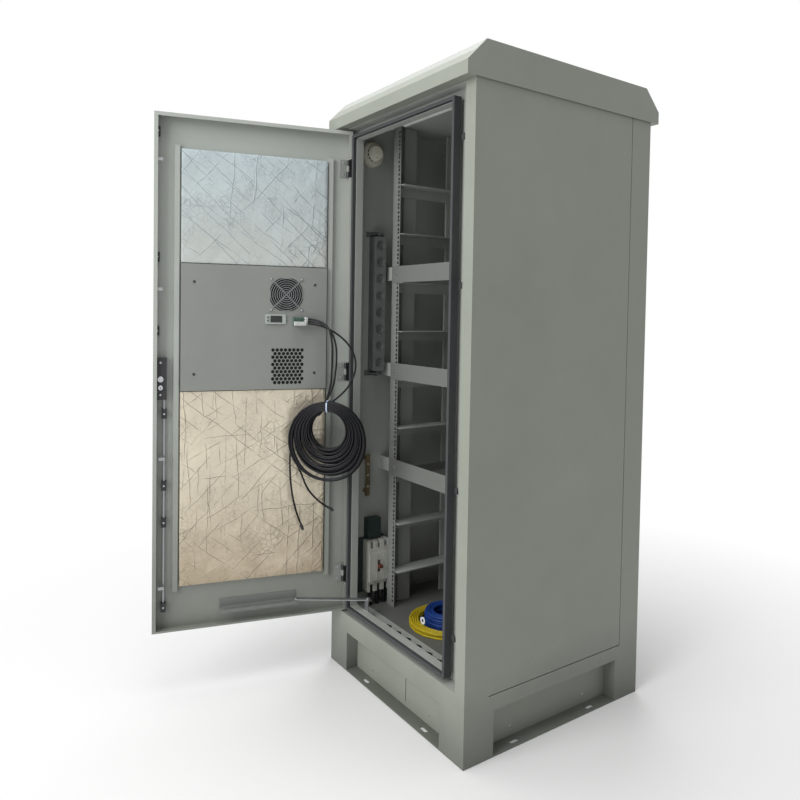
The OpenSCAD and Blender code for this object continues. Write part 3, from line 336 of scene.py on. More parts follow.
def door_place(tree):
    """Texture places turned back with the open door, so that X runs along it and Y into it."""
    return texture_place(tree, turn=DOOR_OPEN)


def split_axes(tree, place):
    """The X, Y and Z of a place."""
    axes = new_node(tree, "ShaderNodeSeparateXYZ", {"Vector": place})
    return axes.outputs["X"], axes.outputs["Y"], axes.outputs["Z"]


def noise_texture(tree, place, scale, detail=4.0, rough=0.55):
    """Cloudy noise from zero to one."""
    noise = new_node(tree, "ShaderNodeTexNoise", {
        "Vector": place, "Scale": scale, "Detail": detail, "Roughness": rough})
    return noise.outputs["Fac"]


def cell_distance(tree, place, scale, feature="F1"):
    """The distance from the middles of scattered cells, or from their edges."""
    cells = new_node(tree, "ShaderNodeTexVoronoi", {"Vector": place, "Scale": scale})
    cells.feature = feature
    return cells.outputs["Distance"]


def colour_ramp(tree, source, stops):
    """A colour for each value, between stops of position and colour."""
    node = new_node(tree, "ShaderNodeValToRGB", {"Fac": source})
    ramp = node.color_ramp
    while len(ramp.elements) < len(stops):
        ramp.elements.new(0.5)
    for element, (position, colour) in zip(ramp.elements, stops):
        element.position = position
        element.color = (*colour, 1.0)
    return node.outputs["Color"]


def value_range(tree, source, low, high, from_low=0.0, from_high=1.0):
    """A value carried from one range to another, and held at its ends."""
    node = new_node(tree, "ShaderNodeMapRange", {
        "Value": source, "From Min": from_low, "From Max": from_high, "To Min": low, "To Max": high})
    return node.outputs["Result"]


def arithmetic(tree, operation, *values):
    """The result of a math node on linked values."""
    node = new_node(tree, "ShaderNodeMath", dict(enumerate(values)))
    node.operation = operation
    return node.outputs["Value"]


def largest(tree, values):
    """The largest of some linked values."""
    top = values[0]
    for value in values[1:]:
        top = arithmetic(tree, "MAXIMUM", top, value)
    return top


def mixed(tree, share, first, second):
    """Two colours mixed by a share; either may be a socket or a plain colour."""
    node = tree.nodes.new("ShaderNodeMix")
    node.data_type = "RGBA"
    tree.links.new(share, node.inputs["Factor"])
    for name, colour in (("A", first), ("B", second)):
        socket = next(s for s in node.inputs if s.name == name and s.type == "RGBA")
        if isinstance(colour, tuple):
            socket.default_value = (*colour, 1.0)
        else:
            tree.links.new(colour, socket)
    return next(s for s in node.outputs if s.type == "RGBA")


def mixed_shaders(tree, share, first, second):
    """Two shaders mixed by a share."""
    node = new_node(tree, "ShaderNodeMixShader", {"Fac": share, 1: first, 2: second})
    return node.outputs["Shader"]


def surface(tree, shader, colour, unevenness, roughness):
    """Gives a shader its colour, and a roughness that varies between two values."""
    tree.links.new(colour, shader.inputs["Base Color"])
    tree.links.new(value_range(tree, unevenness, *roughness), shader.inputs["Roughness"])


def bump(tree, shader, height, strength, distance):
    """Raises a shader's surface by a height."""
    node = new_node(tree, "ShaderNodeBump", {
        "Height": height, "Strength": strength, "Distance": distance})
    tree.links.new(node.outputs["Normal"], shader.inputs["Normal"])


def shade(colour, factor):
    """A colour made darker or paler."""
    return tuple(min(1.0, c * factor) for c in colour)


def background_rays(tree):
    """One where a seen, mirrored or transmitted ray meets the backdrop, and zero for its light."""
    rays = tree.nodes.new("ShaderNodeLightPath")
    return largest(tree, [rays.outputs["Is Camera Ray"], rays.outputs["Is Glossy Ray"],
                          rays.outputs["Is Transmission Ray"]])


# Finishes


def outside_walls(tree):
    """One on the outer faces of the body's walls, and zero inside them."""
    x, y = split_axes(tree, texture_place(tree))[:2]
    reach = largest(tree, [arithmetic(tree, "ABSOLUTE", x), arithmetic(tree, "ABSOLUTE", y)])
    return value_range(tree, reach, 0.0, 1.0, HALF_W - 1.5 * MM, HALF_W - 1.0 * MM)


def outside_door(tree):
    """One on the outer face of the door's skin, and zero on its inside."""
    y = split_axes(tree, door_place(tree))[1]
    face = (Matrix.Rotation(DOOR_OPEN, 3, "Z") @ (DOOR_TURN @ Vector((0, FRONT_Y, 0)))).y
    return value_range(tree, y, 1.0, 0.0, face + 0.5 * MM, face + 1.5 * MM)


def clouded(tree, clouds, colour, mottle):
    """A colour in faint clouds, darker and paler by a share."""
    return colour_ramp(tree, clouds, [(0.3, shade(colour, 1 - mottle)), (0.7, shade(colour, 1 + mottle))])


def powder_coat(name, colour, mottle=0.06, roughness=0.5, outer=None, ground_shade=None):
    """Powder coat: a fine orange peel and faint clouds of tone.

    Outer gives the darker colour of the outer side of a sheet, and the test for that side; the door's inner
    side is a paler copy of the same paint, painted light.
    Ground shade gives the share of the tone that is left at the ground, and the height where the darkening
    ends; this darkening towards the ground is painted shade.
    """
    material, tree, shader = new_finish(name)
    place = texture_place(tree)
    clouds = noise_texture(tree, place, scale=3.5, detail=6.0, rough=0.6)
    paint = clouded(tree, clouds, colour, mottle)
    if outer:
        # The inner side keeps the given colour; on the door it is the paler copy, painted light.
        shaded, outside = outer
        paint = mixed(tree, outside(tree), paint, clouded(tree, clouds, shaded, mottle))
    # Painted shade: the paint darkens towards the ground, under a wavering edge.
    if ground_shade:
        ground_share, unshaded_height = ground_shade
        height = split_axes(tree, place)[2]
        uneven = arithmetic(tree, "ADD", height, value_range(tree, clouds, -0.06, 0.06))
        rise = value_range(tree, uneven, 0.0, 1.0, 0.0, unshaded_height)
        shaded_base = outer[0] if outer else colour
        paint = mixed(tree, rise, clouded(tree, clouds, shade(shaded_base, ground_share), mottle), paint)
    surface(tree, shader, paint, clouds, (roughness - 0.07, roughness + 0.07))
    orange_peel = noise_texture(tree, place, scale=900.0, detail=2.0)
    bump(tree, shader, orange_peel, strength=0.12, distance=0.0004)
    return material


def moulded(name, colour, roughness=0.55, grain_scale=1500.0):
    """Moulded plastic or dull tin with a fine spark texture."""
    material, tree, shader = new_finish(name)
    place = texture_place(tree)
    clouds = noise_texture(tree, place, scale=18.0)
    tone = colour_ramp(tree, clouds, [(0.25, shade(colour, 0.86)), (0.75, shade(colour, 1.1))])
    surface(tree, shader, tone, clouds, (roughness - 0.1, roughness + 0.08))
    grain = noise_texture(tree, place, grain_scale, detail=2.0)
    bump(tree, shader, grain, strength=0.15, distance=0.0003)
    return material


def plated(name, colour, roughness, stretch=(4.0, 4.0, 160.0)):
    """Plated or brushed metal with fine drawn lines."""
    material, tree, shader = new_finish(name)
    lines = noise_texture(tree, texture_place(tree, stretch), scale=6.0, detail=5.0, rough=0.65)
    tone = colour_ramp(tree, lines, [(0.3, shade(colour, 0.82)), (0.7, shade(colour, 1.08))])
    surface(tree, shader, tone, lines, (roughness - 0.1, roughness + 0.14))
    shader.inputs["Metallic"].default_value = 1.0
    bump(tree, shader, lines, strength=0.1, distance=0.0002)
    return material


def cable_jacket(name, colour, roughness=0.42):
    """Extruded cable jacket with faint scuffs."""
    material, tree, shader = new_finish(name)
    scuffs = noise_texture(tree, texture_place(tree), scale=120.0, detail=5.0, rough=0.7)
    tone = colour_ramp(tree, scuffs, [(0.35, shade(colour, 0.8)), (0.75, shade(colour, 1.25))])
    surface(tree, shader, tone, scuffs, (roughness - 0.08, roughness + 0.16))
    shader.inputs["Specular IOR Level"].default_value = 0.2
    bump(tree, shader, scuffs, strength=0.1, distance=0.0003)
    return material


def fold_lines(tree, place, turn, spacing, seed):
    """Thin folds that run one way across the foil and fade in and out: the line along each fold, for painted
    shade, and its ridge, for the bump and a painted highlight.
    """
    sway_reach = 0.022
    fold_shade_width = 0.0017
    ridge_width = 0.0036
    turned = new_node(tree, "ShaderNodeMapping", {
        "Vector": place, "Rotation": (0, math.radians(turn), 0), "Location": (seed, seed, seed)})
    along = turned.outputs["Vector"]
    sway = value_range(tree, noise_texture(tree, along, scale=9.0, detail=3.0), 0.0, sway_reach)
    across = arithmetic(tree, "ADD", split_axes(tree, along)[0], sway)
    rows = tree.nodes.new("ShaderNodeTexVoronoi")
    rows.voronoi_dimensions = "1D"
    rows.feature = "DISTANCE_TO_EDGE"
    rows.inputs["Scale"].default_value = 1 / spacing
    tree.links.new(across, rows.inputs["W"])
    gap = rows.outputs["Distance"]
    fading = noise_texture(tree, along, scale=8.0, detail=3.0, rough=0.6)
    shown = value_range(tree, fading, 0.0, 1.0, 0.46, 0.58)
    # The line is darkened later as painted shade, and the ridge lightened as a painted highlight.
    fold_shade = value_range(tree, gap, 1.0, 0.0, 0.0, fold_shade_width / spacing)
    ridge = value_range(tree, gap, 1.0, 0.0, 0.0, ridge_width / spacing)
    return arithmetic(tree, "MULTIPLY", fold_shade, shown), arithmetic(tree, "MULTIPLY", ridge, shown)


def facets(tree, place, scale, height):
    """Flat crumpled facets that meet in creases."""
    return value_range(tree, cell_distance(tree, place, scale), 0.0, height)


def crinkle(tree, place, scale, patch_scale):
    """A web of fine creases, in patches."""
    edges = cell_distance(tree, place, scale, "DISTANCE_TO_EDGE")
    web = value_range(tree, edges, 1.0, 0.0, 0.0, 0.1)
    fading = noise_texture(tree, place, patch_scale, rough=0.65)
    patches = value_range(tree, fading, 0.0, 1.0, 0.48, 0.68)
    return arithmetic(tree, "MULTIPLY", web, patches)


def creased_foil(name, colour, low_colour, dark, heights, folds, crumple):
    """Aluminium foil on foam: long folds, crumpled facets, fine crinkle, with painted shade in the folds and
    the crinkle and a painted highlight on the folds' ridges.

    Its tone shifts from the low colour to the other between the two heights. Folds gives each set's
    turn from upright in degrees and its spacing, and crumple how high the facets stand.
    """
    material, tree, shader = new_finish(name)
    place = door_place(tree)
    lines = [fold_lines(tree, place, turn, spacing, 0.37 * (index + 1))
             for index, (turn, spacing) in enumerate(folds)]
    creases = largest(tree, [fold_shade for fold_shade, ridge in lines])
    relief = largest(tree, [ridge for fold_shade, ridge in lines])
    small_web = crinkle(tree, place, scale=120.0, patch_scale=13.0)
    large_web = crinkle(tree, place, scale=52.0, patch_scale=7.0)
    fine = largest(tree, [small_web, large_web])
    clouds = noise_texture(tree, place, scale=8.0, detail=6.0, rough=0.65)
    rise = value_range(tree, split_axes(tree, place)[2], 0.0, 1.0, *heights)
    tone = mixed(tree, rise, low_colour, colour)
    marbled = mixed(tree, value_range(tree, clouds, 0.0, 0.5, 0.45, 0.75), tone, shade(colour, 1.3))
    # Painted shade in the crinkle web and along the folds, and a painted highlight on the folds' ridges.
    web_shaded = mixed(tree, value_range(tree, fine, 0.0, 0.55), marbled, dark)
    ridge_lit = mixed(tree, value_range(tree, relief, 0.0, 0.25), web_shaded, shade(colour, 1.35))
    finished = mixed(tree, value_range(tree, creases, 0.0, 0.85), ridge_lit, dark)
    surface(tree, shader, finished, clouds, (0.24, 0.46))
    shader.inputs["Metallic"].default_value = 0.6
    large_facets = facets(tree, place, scale=24.0, height=crumple)
    small_facets = facets(tree, place, scale=70.0, height=0.5 * crumple)
    crumpled = arithmetic(tree, "ADD", large_facets, small_facets)
    crinkled = arithmetic(tree, "ADD", crumpled, value_range(tree, fine, 0.0, 0.35))
    raised = arithmetic(tree, "ADD", crinkled, value_range(tree, relief, 0.0, 0.5))
    bump(tree, shader, raised, strength=0.6, distance=0.0018)
    return material


def make_finishes():
    """Makes each finish once, under the name of its piece or of the record's slot."""
    looks = bpy.context.scene.cabinet_finish
    body = tuple(looks.body_colour)
    inner = tuple(looks.inner_colour)
    door = tuple(looks.door_lit_colour)
    paints = {
        # The last value of the body's and the door's entries darkens the paint towards the ground: painted
        # shade.
        "body_paint": (inner, 0.06, 0.5, (body, outside_walls), (0.48, 0.25)),
        "door_panel": (door, 0.06, 0.5, (body, outside_door), (0.7, 1.15)),
        "kick_panels": (shade(body, 0.95),),
        "inner_paint": (inner, 0.05, 0.55),
        # Painted shade: rack uprights and shelves are darker copies of the inner paint, for the shade deep
        # inside.
        "rack_uprights": (shade(inner, 0.49), 0.05, 0.55),
        "shelves": (shade(inner, 0.39), 0.05, 0.55),
        "side_strips": (shade(inner, 0.9), 0.05, 0.55),
        "ac_panel": (shade(inner, 0.64), 0.05),
        # Painted shade: the floor plate is a darker copy of the inner paint, for the shade at the bottom of
        # the interior.
        "floor_plate": (shade(inner, 0.3), 0.08, 0.6),
        "stay_channel": (shade(door, 0.42),),
        "door_hinges": (shade(door, 0.62),),
        "dark_metal": ((0.025, 0.025, 0.028), 0.2, 0.42),
    }
    metals = {
        "bright_steel": ((0.36, 0.37, 0.38), 0.46),
        "fan_guard": ((0.27, 0.275, 0.28), 0.46),
        "earth_brass": ((0.30, 0.24, 0.14), 0.45, (30.0, 30.0, 6.0)),
        "screw_zinc": ((0.52, 0.53, 0.54), 0.36),
    }
    mouldings = {
        "ring_lug": ((0.78, 0.79, 0.78), 0.3),
        "black_plastic": ((0.022, 0.022, 0.025),),
        "seal_rubber": ((0.042, 0.044, 0.047), 0.75, 700.0),
        "cream_plastic": ((0.66, 0.64, 0.53),),
        "strip_plastic": ((0.125, 0.13, 0.13),),
        "base_green": ((0.012, 0.026, 0.023),),
        "breaker_grey": ((0.45, 0.45, 0.41),),
        "toggle_red": ((0.12, 0.032, 0.022), 0.4),
        "lamp_white": ((0.74, 0.74, 0.70), 0.25),
        "bezel_plastic": ((0.36, 0.40, 0.37),),
        "screen_plastic": ((0.01, 0.014, 0.014), 0.15),
        "key_plastic": ((0.07, 0.08, 0.08),),
        "terminal_green": ((0.07, 0.13, 0.105),),
        "tie_nylon": ((0.42, 0.50, 0.66), 0.35),
        # Near-black, for the painted shade behind the air conditioner's openings.
        "screen_foam": ((0.012, 0.012, 0.013), 0.85, 450.0),
        "ferrule_white": ((0.56, 0.58, 0.57), 0.4),
    }
    jackets = {
        "yellow_cable": ((0.42, 0.32, 0.013),),
        "blue_cable": ((0.010, 0.038, 0.18),),
        "black_cable": ((0.008, 0.008, 0.010), 0.3),
    }
    foils = {
        "foil_upper": (
            tuple(looks.foil_upper_colour), (0.50, 0.52, 0.49), (0.15, 0.18, 0.20), UPPER_PAD,
            ((-46, 0.05), (42, 0.08), (4, 0.10), (-55, 0.06)), 0.8),
        "foil_lower": (
            tuple(looks.foil_lower_colour), (0.43, 0.355, 0.255), (0.10, 0.08, 0.055), (LOWER_PAD[0], 0.700),
            ((2, 0.05), (-4, 0.06), (43, 0.055), (-52, 0.05), (60, 0.06), (88, 0.13)), 1.2),
    }
    for make, group in ((powder_coat, paints), (plated, metals), (moulded, mouldings),
                        (cable_jacket, jackets), (creased_foil, foils)):
        for name, look in group.items():
            FINISHES[name] = make(name, *look)


# Operators


class CABINET_OT_camera(bpy.types.Operator):
    """Stands the camera where the photograph was taken from"""

    bl_idname = "cabinet.camera"
    bl_label = "Camera"

    def execute(self, context):
        heading = 0.9693
        pitch = -0.0313
        roll = 0.0163
        place = Vector((1.8122, -1.5953, 1.2574))
        focal_share = 694.74 / 800
        shift_share = -64.8 / 800
        level = Vector((-math.sin(heading), math.cos(heading), 0))
        forward = math.cos(pitch) * level + math.sin(pitch) * Vector((0, 0, 1))
        right = forward.cross(Vector((0, 0, 1))).normalized()
        up = right.cross(forward)
        rolled_right = math.cos(roll) * right + math.sin(roll) * up
        rolled_up = -math.sin(roll) * right + math.cos(roll) * up
        turn = Matrix((rolled_right, rolled_up, -forward)).transposed()
        camera = bpy.data.cameras.new("photo_camera")
        camera.sensor_fit = "HORIZONTAL"
        camera.sensor_width = 36.0
        camera.lens = focal_share * camera.sensor_width
        camera.shift_y = shift_share
        holder = bpy.data.objects.new("photo_camera", camera)
        holder.matrix_world = Matrix.Translation(place) @ turn.to_4x4()
        context.scene.collection.objects.link(holder)
        context.scene.camera = holder
        return {"FINISHED"}


def coil_point(across, height, depth):
    """A place in the tied coil's own plane, in millimetres: across and deep from its middle, and up."""
    along = COIL_CENTRE[0] + across * math.cos(COIL_TURN) + depth * math.sin(COIL_TURN)
    inward = COIL_CENTRE[1] - across * math.sin(COIL_TURN) + depth * math.cos(COIL_TURN)
    return door_point(along, inward, height)


def coil_turns(lead, turns, pitch, last_angle):
    """Turns of one lead from the inner ones to the outer ones, two layers deep in the bundle."""
    points_per_turn = 18
    start_angle = math.radians(118)
    end_angle = math.radians(90 + 360 * (turns - 1) + last_angle)
    count = int((end_angle - start_angle) / (2 * math.pi) * points_per_turn)
    points = []
    for i in range(count + 1):
        angle = start_angle + (end_angle - start_angle) * i / count
        turn = angle / (2 * math.pi) - 0.25
        order = min(1.0, (turn + lead / LEAD_COUNT) / turns)
        slack = (1 - math.sin(angle)) / 2
        wander = (1.4 + 3.2 * order ** 3) * slack * math.sin(1.7 * turn + 2.1 * lead)
        ripple = 1.2 * slack * math.sin(3.1 * angle + lead)
        radius = COIL_INNER_R + (COIL_OUTER_R - COIL_INNER_R) * order ** 1.1 + wander
        top = COIL_TOP - COIL_BUNDLE * (1 - order)
        layer = 2 * lead + abs((turn + 1) % 2 - 1)
        depth = (layer - LEAD_COUNT + 0.5) * pitch + ripple
        across = -radius * math.cos(angle)
        height = top - radius + radius * math.sin(angle)
        points.append(coil_point(across, height, depth))
    return points


class CABINET_OT_door_cables(bpy.types.Operator):
    """Winds the black leads from the terminals through the tied coil to their tails"""

    bl_idname = "cabinet.door_cables"
    bl_label = "Door cables"

    def execute(self, context):
        sizes = context.scene.cabinet_cables
        diameter = sizes.lead_diameter
        turns = sizes.coil_turns
        pitch = diameter / MM * 1.02
        tie = self.tie(pitch)
        plans = (
            ("lead_left", LEAD_LEFT[:-1], 0, 92, TAIL_LONG),
            ("lead_middle", LEAD_MIDDLE[:-1], 1, 128, TAIL_SHORT),
            ("lead_right", LEAD_RIGHT[:-1], 2, 300, []),
        )
        for name, lead, order, last_angle, tail in plans:
            points = [door_point(*p) for p in lead]
            points += coil_turns(order, turns, pitch, last_angle)
            points += [door_point(*p) for p in tail[1:]]
            path = smooth_route(points, 3)
            cable = cable_piece("cable_" + name, path, diameter, "black_cable", "door")
            with_pieces = []
            if tail:
                with_pieces.append(self.plug(name, path))
            if name == "lead_left":
                with_pieces.append(tie)
                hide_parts("door_cables", "cable_coil")
            for piece in [cable] + with_pieces:
                self.give_way(piece)
        return {"FINISHED"}

    def give_way(self, piece):
        """Gives the piece a mesh of its own."""
        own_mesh(piece)

    def tie(self, pitch):
        """A nylon tie round the top of the coil."""
        clear = 4.2
        half_w = 2.4
        thick = 1.3
        squareness = 0.6
        steps = 32
        half_depth = (LEAD_COUNT - 0.5) * pitch + clear
        low = COIL_TOP - COIL_BUNDLE - clear
        high = COIL_TOP + clear
        middle = (low + high) / 2
        outline = []
        for k in range(steps):
            a = 2 * math.pi * k / steps
            depth = half_depth * math.copysign(abs(math.cos(a)) ** squareness, math.cos(a))
            rise = (high - low) / 2 * math.copysign(abs(math.sin(a)) ** squareness, math.sin(a))
            outline.append((depth, middle + rise))
        band = bmesh.new()
        rings = []
        for across, grow in ((-half_w, 0.0), (-half_w, thick), (half_w, thick), (half_w, 0.0)):
            ring = []
            for depth, height in outline:
                out = Vector((depth, height - middle)).normalized() * grow
                ring.append(band.verts.new(coil_point(across, height + out.y, depth + out.x)))
            rings.append(ring)
        for first, second in zip(rings, rings[1:] + rings[:1]):
            for k in range(steps):
                n = (k + 1) % steps
                band.faces.new((first[k], first[n], second[n], second[k]))
        return mesh_piece("cable_tie", band, "tie_nylon", "door")

    def plug(self, name, path):
        """A small screw-lock plug on the end of a tail."""
        end = path[-1]
        down = (path[-1] - path[-3]).normalized()
        profile = [(0, 0), (3.6, 0), (4.2, 1), (4.6, 8), (5.4, 8.5), (5.4, 17),
                   (4.4, 17.6), (4.4, 24), (0, 24)]
        plug = bmesh.new()
        add_lathe(plug, profile, facing(end - 6 * MM * down, down), 20)
        return mesh_piece("plug_" + name, plug, "black_plastic", "door")


def floor_coil(centre, radii, layers, diameter):
    """A cable laid on the floor in flat turns, layer on layer, in and out."""
    per_turn = 20
    start_angle = 0.6
    layer_rise = 0.9 * diameter
    ripple = 0.6 * MM
    points = []
    for layer in range(layers):
        row = radii if layer % 2 == 0 else radii[::-1]
        height = FLOOR_Z + diameter / 2 + layer * layer_rise
        for index, radius in enumerate(row):
            following = row[min(index + 1, len(row) - 1)]
            for k in range(per_turn):
                share = k / per_turn
                a = start_angle + 2 * math.pi * share
                r = radius + (following - radius) * share
                lift = height + ripple * math.sin(5 * a + layer)
                points.append(Vector((centre[0] + r * math.cos(a), centre[1] + r * math.sin(a), lift)))
    return points


class CABINET_OT_floor_coils(bpy.types.Operator):
    """Winds the yellow and blue cables that lie on the floor"""

    bl_idname = "cabinet.floor_coils"
    bl_label = "Floor coils"

    def execute(self, context):
        centre = (-0.020, -0.125)
        lug = frame["nodes"]["ring_lug"]
        plans = (
            ("yellow", 0.0072, (0.096, 0.104, 0.1115, 0.119, 0.126), 3, [lug]),
            ("blue", 0.0092, (0.049, 0.0585, 0.068, 0.0735), 6, []),
        )
        for name, diameter, radii, layers, fittings in plans:
            path = floor_coil(centre, radii, layers, diameter)
            cable = cable_piece("floor_cable_" + name, path, diameter, name + "_cable", "cabinet")
            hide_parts(name + "_coil")
        return {"FINISHED"}


class CABINET_OT_foil_pads(bpy.types.Operator):
    """Lays creased foil over the two insulation pads"""

    bl_idname = "cabinet.foil_pads"
    bl_label = "Foil pads"

    crease_count = 46
    crease_reach = 7 * MM
    crease_limit = 0.9 * MM

    def execute(self, context):
        self.pad("foil_upper", UPPER_PAD, 11)
        self.pad("foil_lower", LOWER_PAD, 23)
        return {"FINISHED"}

    def pad(self, node, heights, seed):
        """A sheet over the pad's face, with its rim drawn back to the door."""
        x0, x1 = -PAD_HALF_W, PAD_HALF_W
        z0, z1 = heights
        step = 5 * MM
        rim_drop = 1 * MM
        rim_width = 8 * MM
        columns = round((x1 - x0) / step)
        rows = round((z1 - z0) / step)
        creases = self.draw_creases(x0, x1, z0, z1, seed)
        sheet = bmesh.new()
        grid = []
        for row in range(rows + 1):
            line = []
            for column in range(columns + 1):
                x = x0 + (x1 - x0) * column / columns
                z = z0 + (z1 - z0) * row / rows
                edge = min(x - x0, x1 - x, z - z0, z1 - z)
                rounded = rim_drop * max(0.0, 1 - edge / rim_width) ** 2
                lift = PAD_THICK - self.crease_limit - rounded + self.crease_height(Vector((x, z)), creases)
                line.append(sheet.verts.new(DOOR_TURN @ Vector((x, SKIN_Y + lift, z))))
            grid.append(line)
        for row in range(rows):
            for column in range(columns):
                sheet.faces.new((grid[row][column], grid[row][column + 1],
                                 grid[row + 1][column + 1], grid[row + 1][column]))
        rim = [e for e in sheet.edges if e.is_boundary]
        back = bmesh.ops.extrude_edge_only(sheet, edges=rim)
        inward = DOOR_TURN.to_3x3() @ Vector((0, 1, 0))
        for vert in (v for v in back["geom"] if isinstance(v, bmesh.types.BMVert)):
            place = DOOR_TURN.inverted() @ vert.co
            vert.co -= inward * (place.y - SKIN_Y)
        piece = mesh_piece("creased_" + node, sheet, node, "door")
        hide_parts(node)

    def draw_creases(self, x0, x1, z0, z1, seed):
        """Straight creases at random: their two ends and their height."""
        draw = random.Random(seed)
        creases = []
        for _ in range(self.crease_count):
            middle = Vector((draw.uniform(x0, x1), draw.uniform(z0, z1)))
            angle = draw.choice((0.0, 0.5, 1.1, 1.57, 1.57, 2.2, 2.7)) + draw.uniform(-0.25, 0.25)
            length = draw.uniform(0.06, 0.3)
            half = Vector((math.cos(angle), math.sin(angle))) * length / 2
            size = draw.choice((-1, 1)) * draw.uniform(0.2, 0.6) * MM
            creases.append((middle - half, middle + half, size))
        return creases

    def crease_height(self, point, creases):
        """How far the creases near a point raise or sink it."""
        height = 0.0
        for start, end, size in creases:
            along = end - start
            share = max(0.0, min(1.0, (point - start).dot(along) / along.length_squared))
            gap = (point - start - share * along).length
            if gap < self.crease_reach:
                height += size * (1 - gap / self.crease_reach)
        return max(-self.crease_limit, min(self.crease_limit, height))


class CABINET_OT_fasteners(bpy.types.Operator):
    """Drives the screws of the door, the hinges, the plinth and the rack"""

    bl_idname = "cabinet.fasteners"
    bl_label = "Fasteners"

    def execute(self, context):
        self.cover_screws()
        self.door_screws()
        self.body_screws()
        return {"FINISHED"}

    def cover_screws(self):
        """Dark screws at the corners of the air conditioner's cover."""
        screws = bmesh.new()
        for x in (-0.199, 0.200):
            for z in (1.048, 1.350):
                add_screw(screws, on_door(x, AC_FACE_Y, z), 4.2 * MM)
        mesh_piece("cover_screws", screws, "dark_metal", "door")

    def door_screws(self):
        """Screws of the fan's guard, the rod guides, the hinges and the lock."""
        guard_face = AC_FACE_Y + 2.5 * MM
        guide_face = SKIN_Y + 15 * MM
        hinge_face = SKIN_Y + 4 * MM
        hinge_x = HINGE.x + 17 * MM
        corner = 52.2 * MM
        screws = bmesh.new()
        for side in (-corner, corner):
            for rise in (-corner, corner):
                add_screw(screws, on_door(FAN_X + side, guard_face, FAN_Z + rise), 3.2 * MM)
        guides = [(ROD_OFFSET, z) for z in UPPER_GUIDES] + [(-ROD_OFFSET, z) for z in LOWER_GUIDES]
        for offset, z in guides:
            add_screw(screws, on_door(LOCK_X + offset, guide_face, z), 3.4 * MM)
        for z in HINGE_HEIGHTS:
            for rise in (-HINGE_SCREW_RISE, HINGE_SCREW_RISE):
                add_screw(screws, on_door(hinge_x, hinge_face, z + rise), 3.4 * MM)
        for rise in (-50 * MM, 54 * MM):
            add_screw(screws, on_door(LOCK_X, LOCK_FACE_Y, LOCK_Z + rise), 3.6 * MM)
        mesh_piece("door_screws", screws, "screw_zinc", "door")

    def body_screws(self):
        """Screws of the kick panels, the frame's hinge halves and the shelves."""
        kick = HALF_W - KICK_SETBACK
        hinge_x = -0.322
        hinge_face = LANDING_Y - 3 * MM
        shelf_x = 0.2348
        shelf_face = -0.207
        shelf_rise = 29 * MM
        forward = (0, -1, 0)
        screws = bmesh.new()
        for along in (-0.16, 0.16):
            for z in (0.035, 0.112):
                for place, direction in (((along, -kick, z), forward), ((along, kick, z), (0, 1, 0)),
                                         ((kick, along, z), (1, 0, 0)), ((-kick, along, z), (-1, 0, 0))):
                    add_screw(screws, facing(place, direction), 3.2 * MM)
        for z in HINGE_HEIGHTS:
            for rise in (-HINGE_SCREW_RISE, HINGE_SCREW_RISE):
                add_screw(screws, facing((hinge_x, hinge_face, z + rise), forward), 3.2 * MM)
        for z in SHELF_HEIGHTS:
            for x in (-shelf_x, shelf_x):
                add_screw(screws, facing((x, shelf_face, z + shelf_rise), forward), 4.2 * MM)
        mesh_piece("body_screws", screws, "screw_zinc", "cabinet")


class CABINET_OT_side_strips(bpy.types.Operator):
    """Stands folded strips on the outer sides of the rack's depth rails"""

    bl_idname = "cabinet.side_strips"
    bl_label = "Side strips"

    def execute(self, context):
        sheet = 1.5 * MM
        fold = 9 * MM
        rounding = 0.3 * MM
        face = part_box("rack_rails")[1][0] + 0.2 * MM
        back = face + sheet
        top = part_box("rack_uprights")[1][2] - 2 * MM
        strips = bmesh.new()
        for side in (-1, 1):
            turn = Matrix.Diagonal((side, 1, 1, 1))
            for y0, y1 in ((-0.160, -0.106), (0.036, 0.090)):
                add_block(strips, (face, y0, FLOOR_Z), (back, y1, top), turn, rounding)
                for edge in (y0, y1 - sheet):
                    add_block(strips, (back, edge, FLOOR_Z), (face + fold, edge + sheet, top), turn, rounding)
        mesh_piece("rack_side_strips", strips, "side_strips", "cabinet")
        return {"FINISHED"}


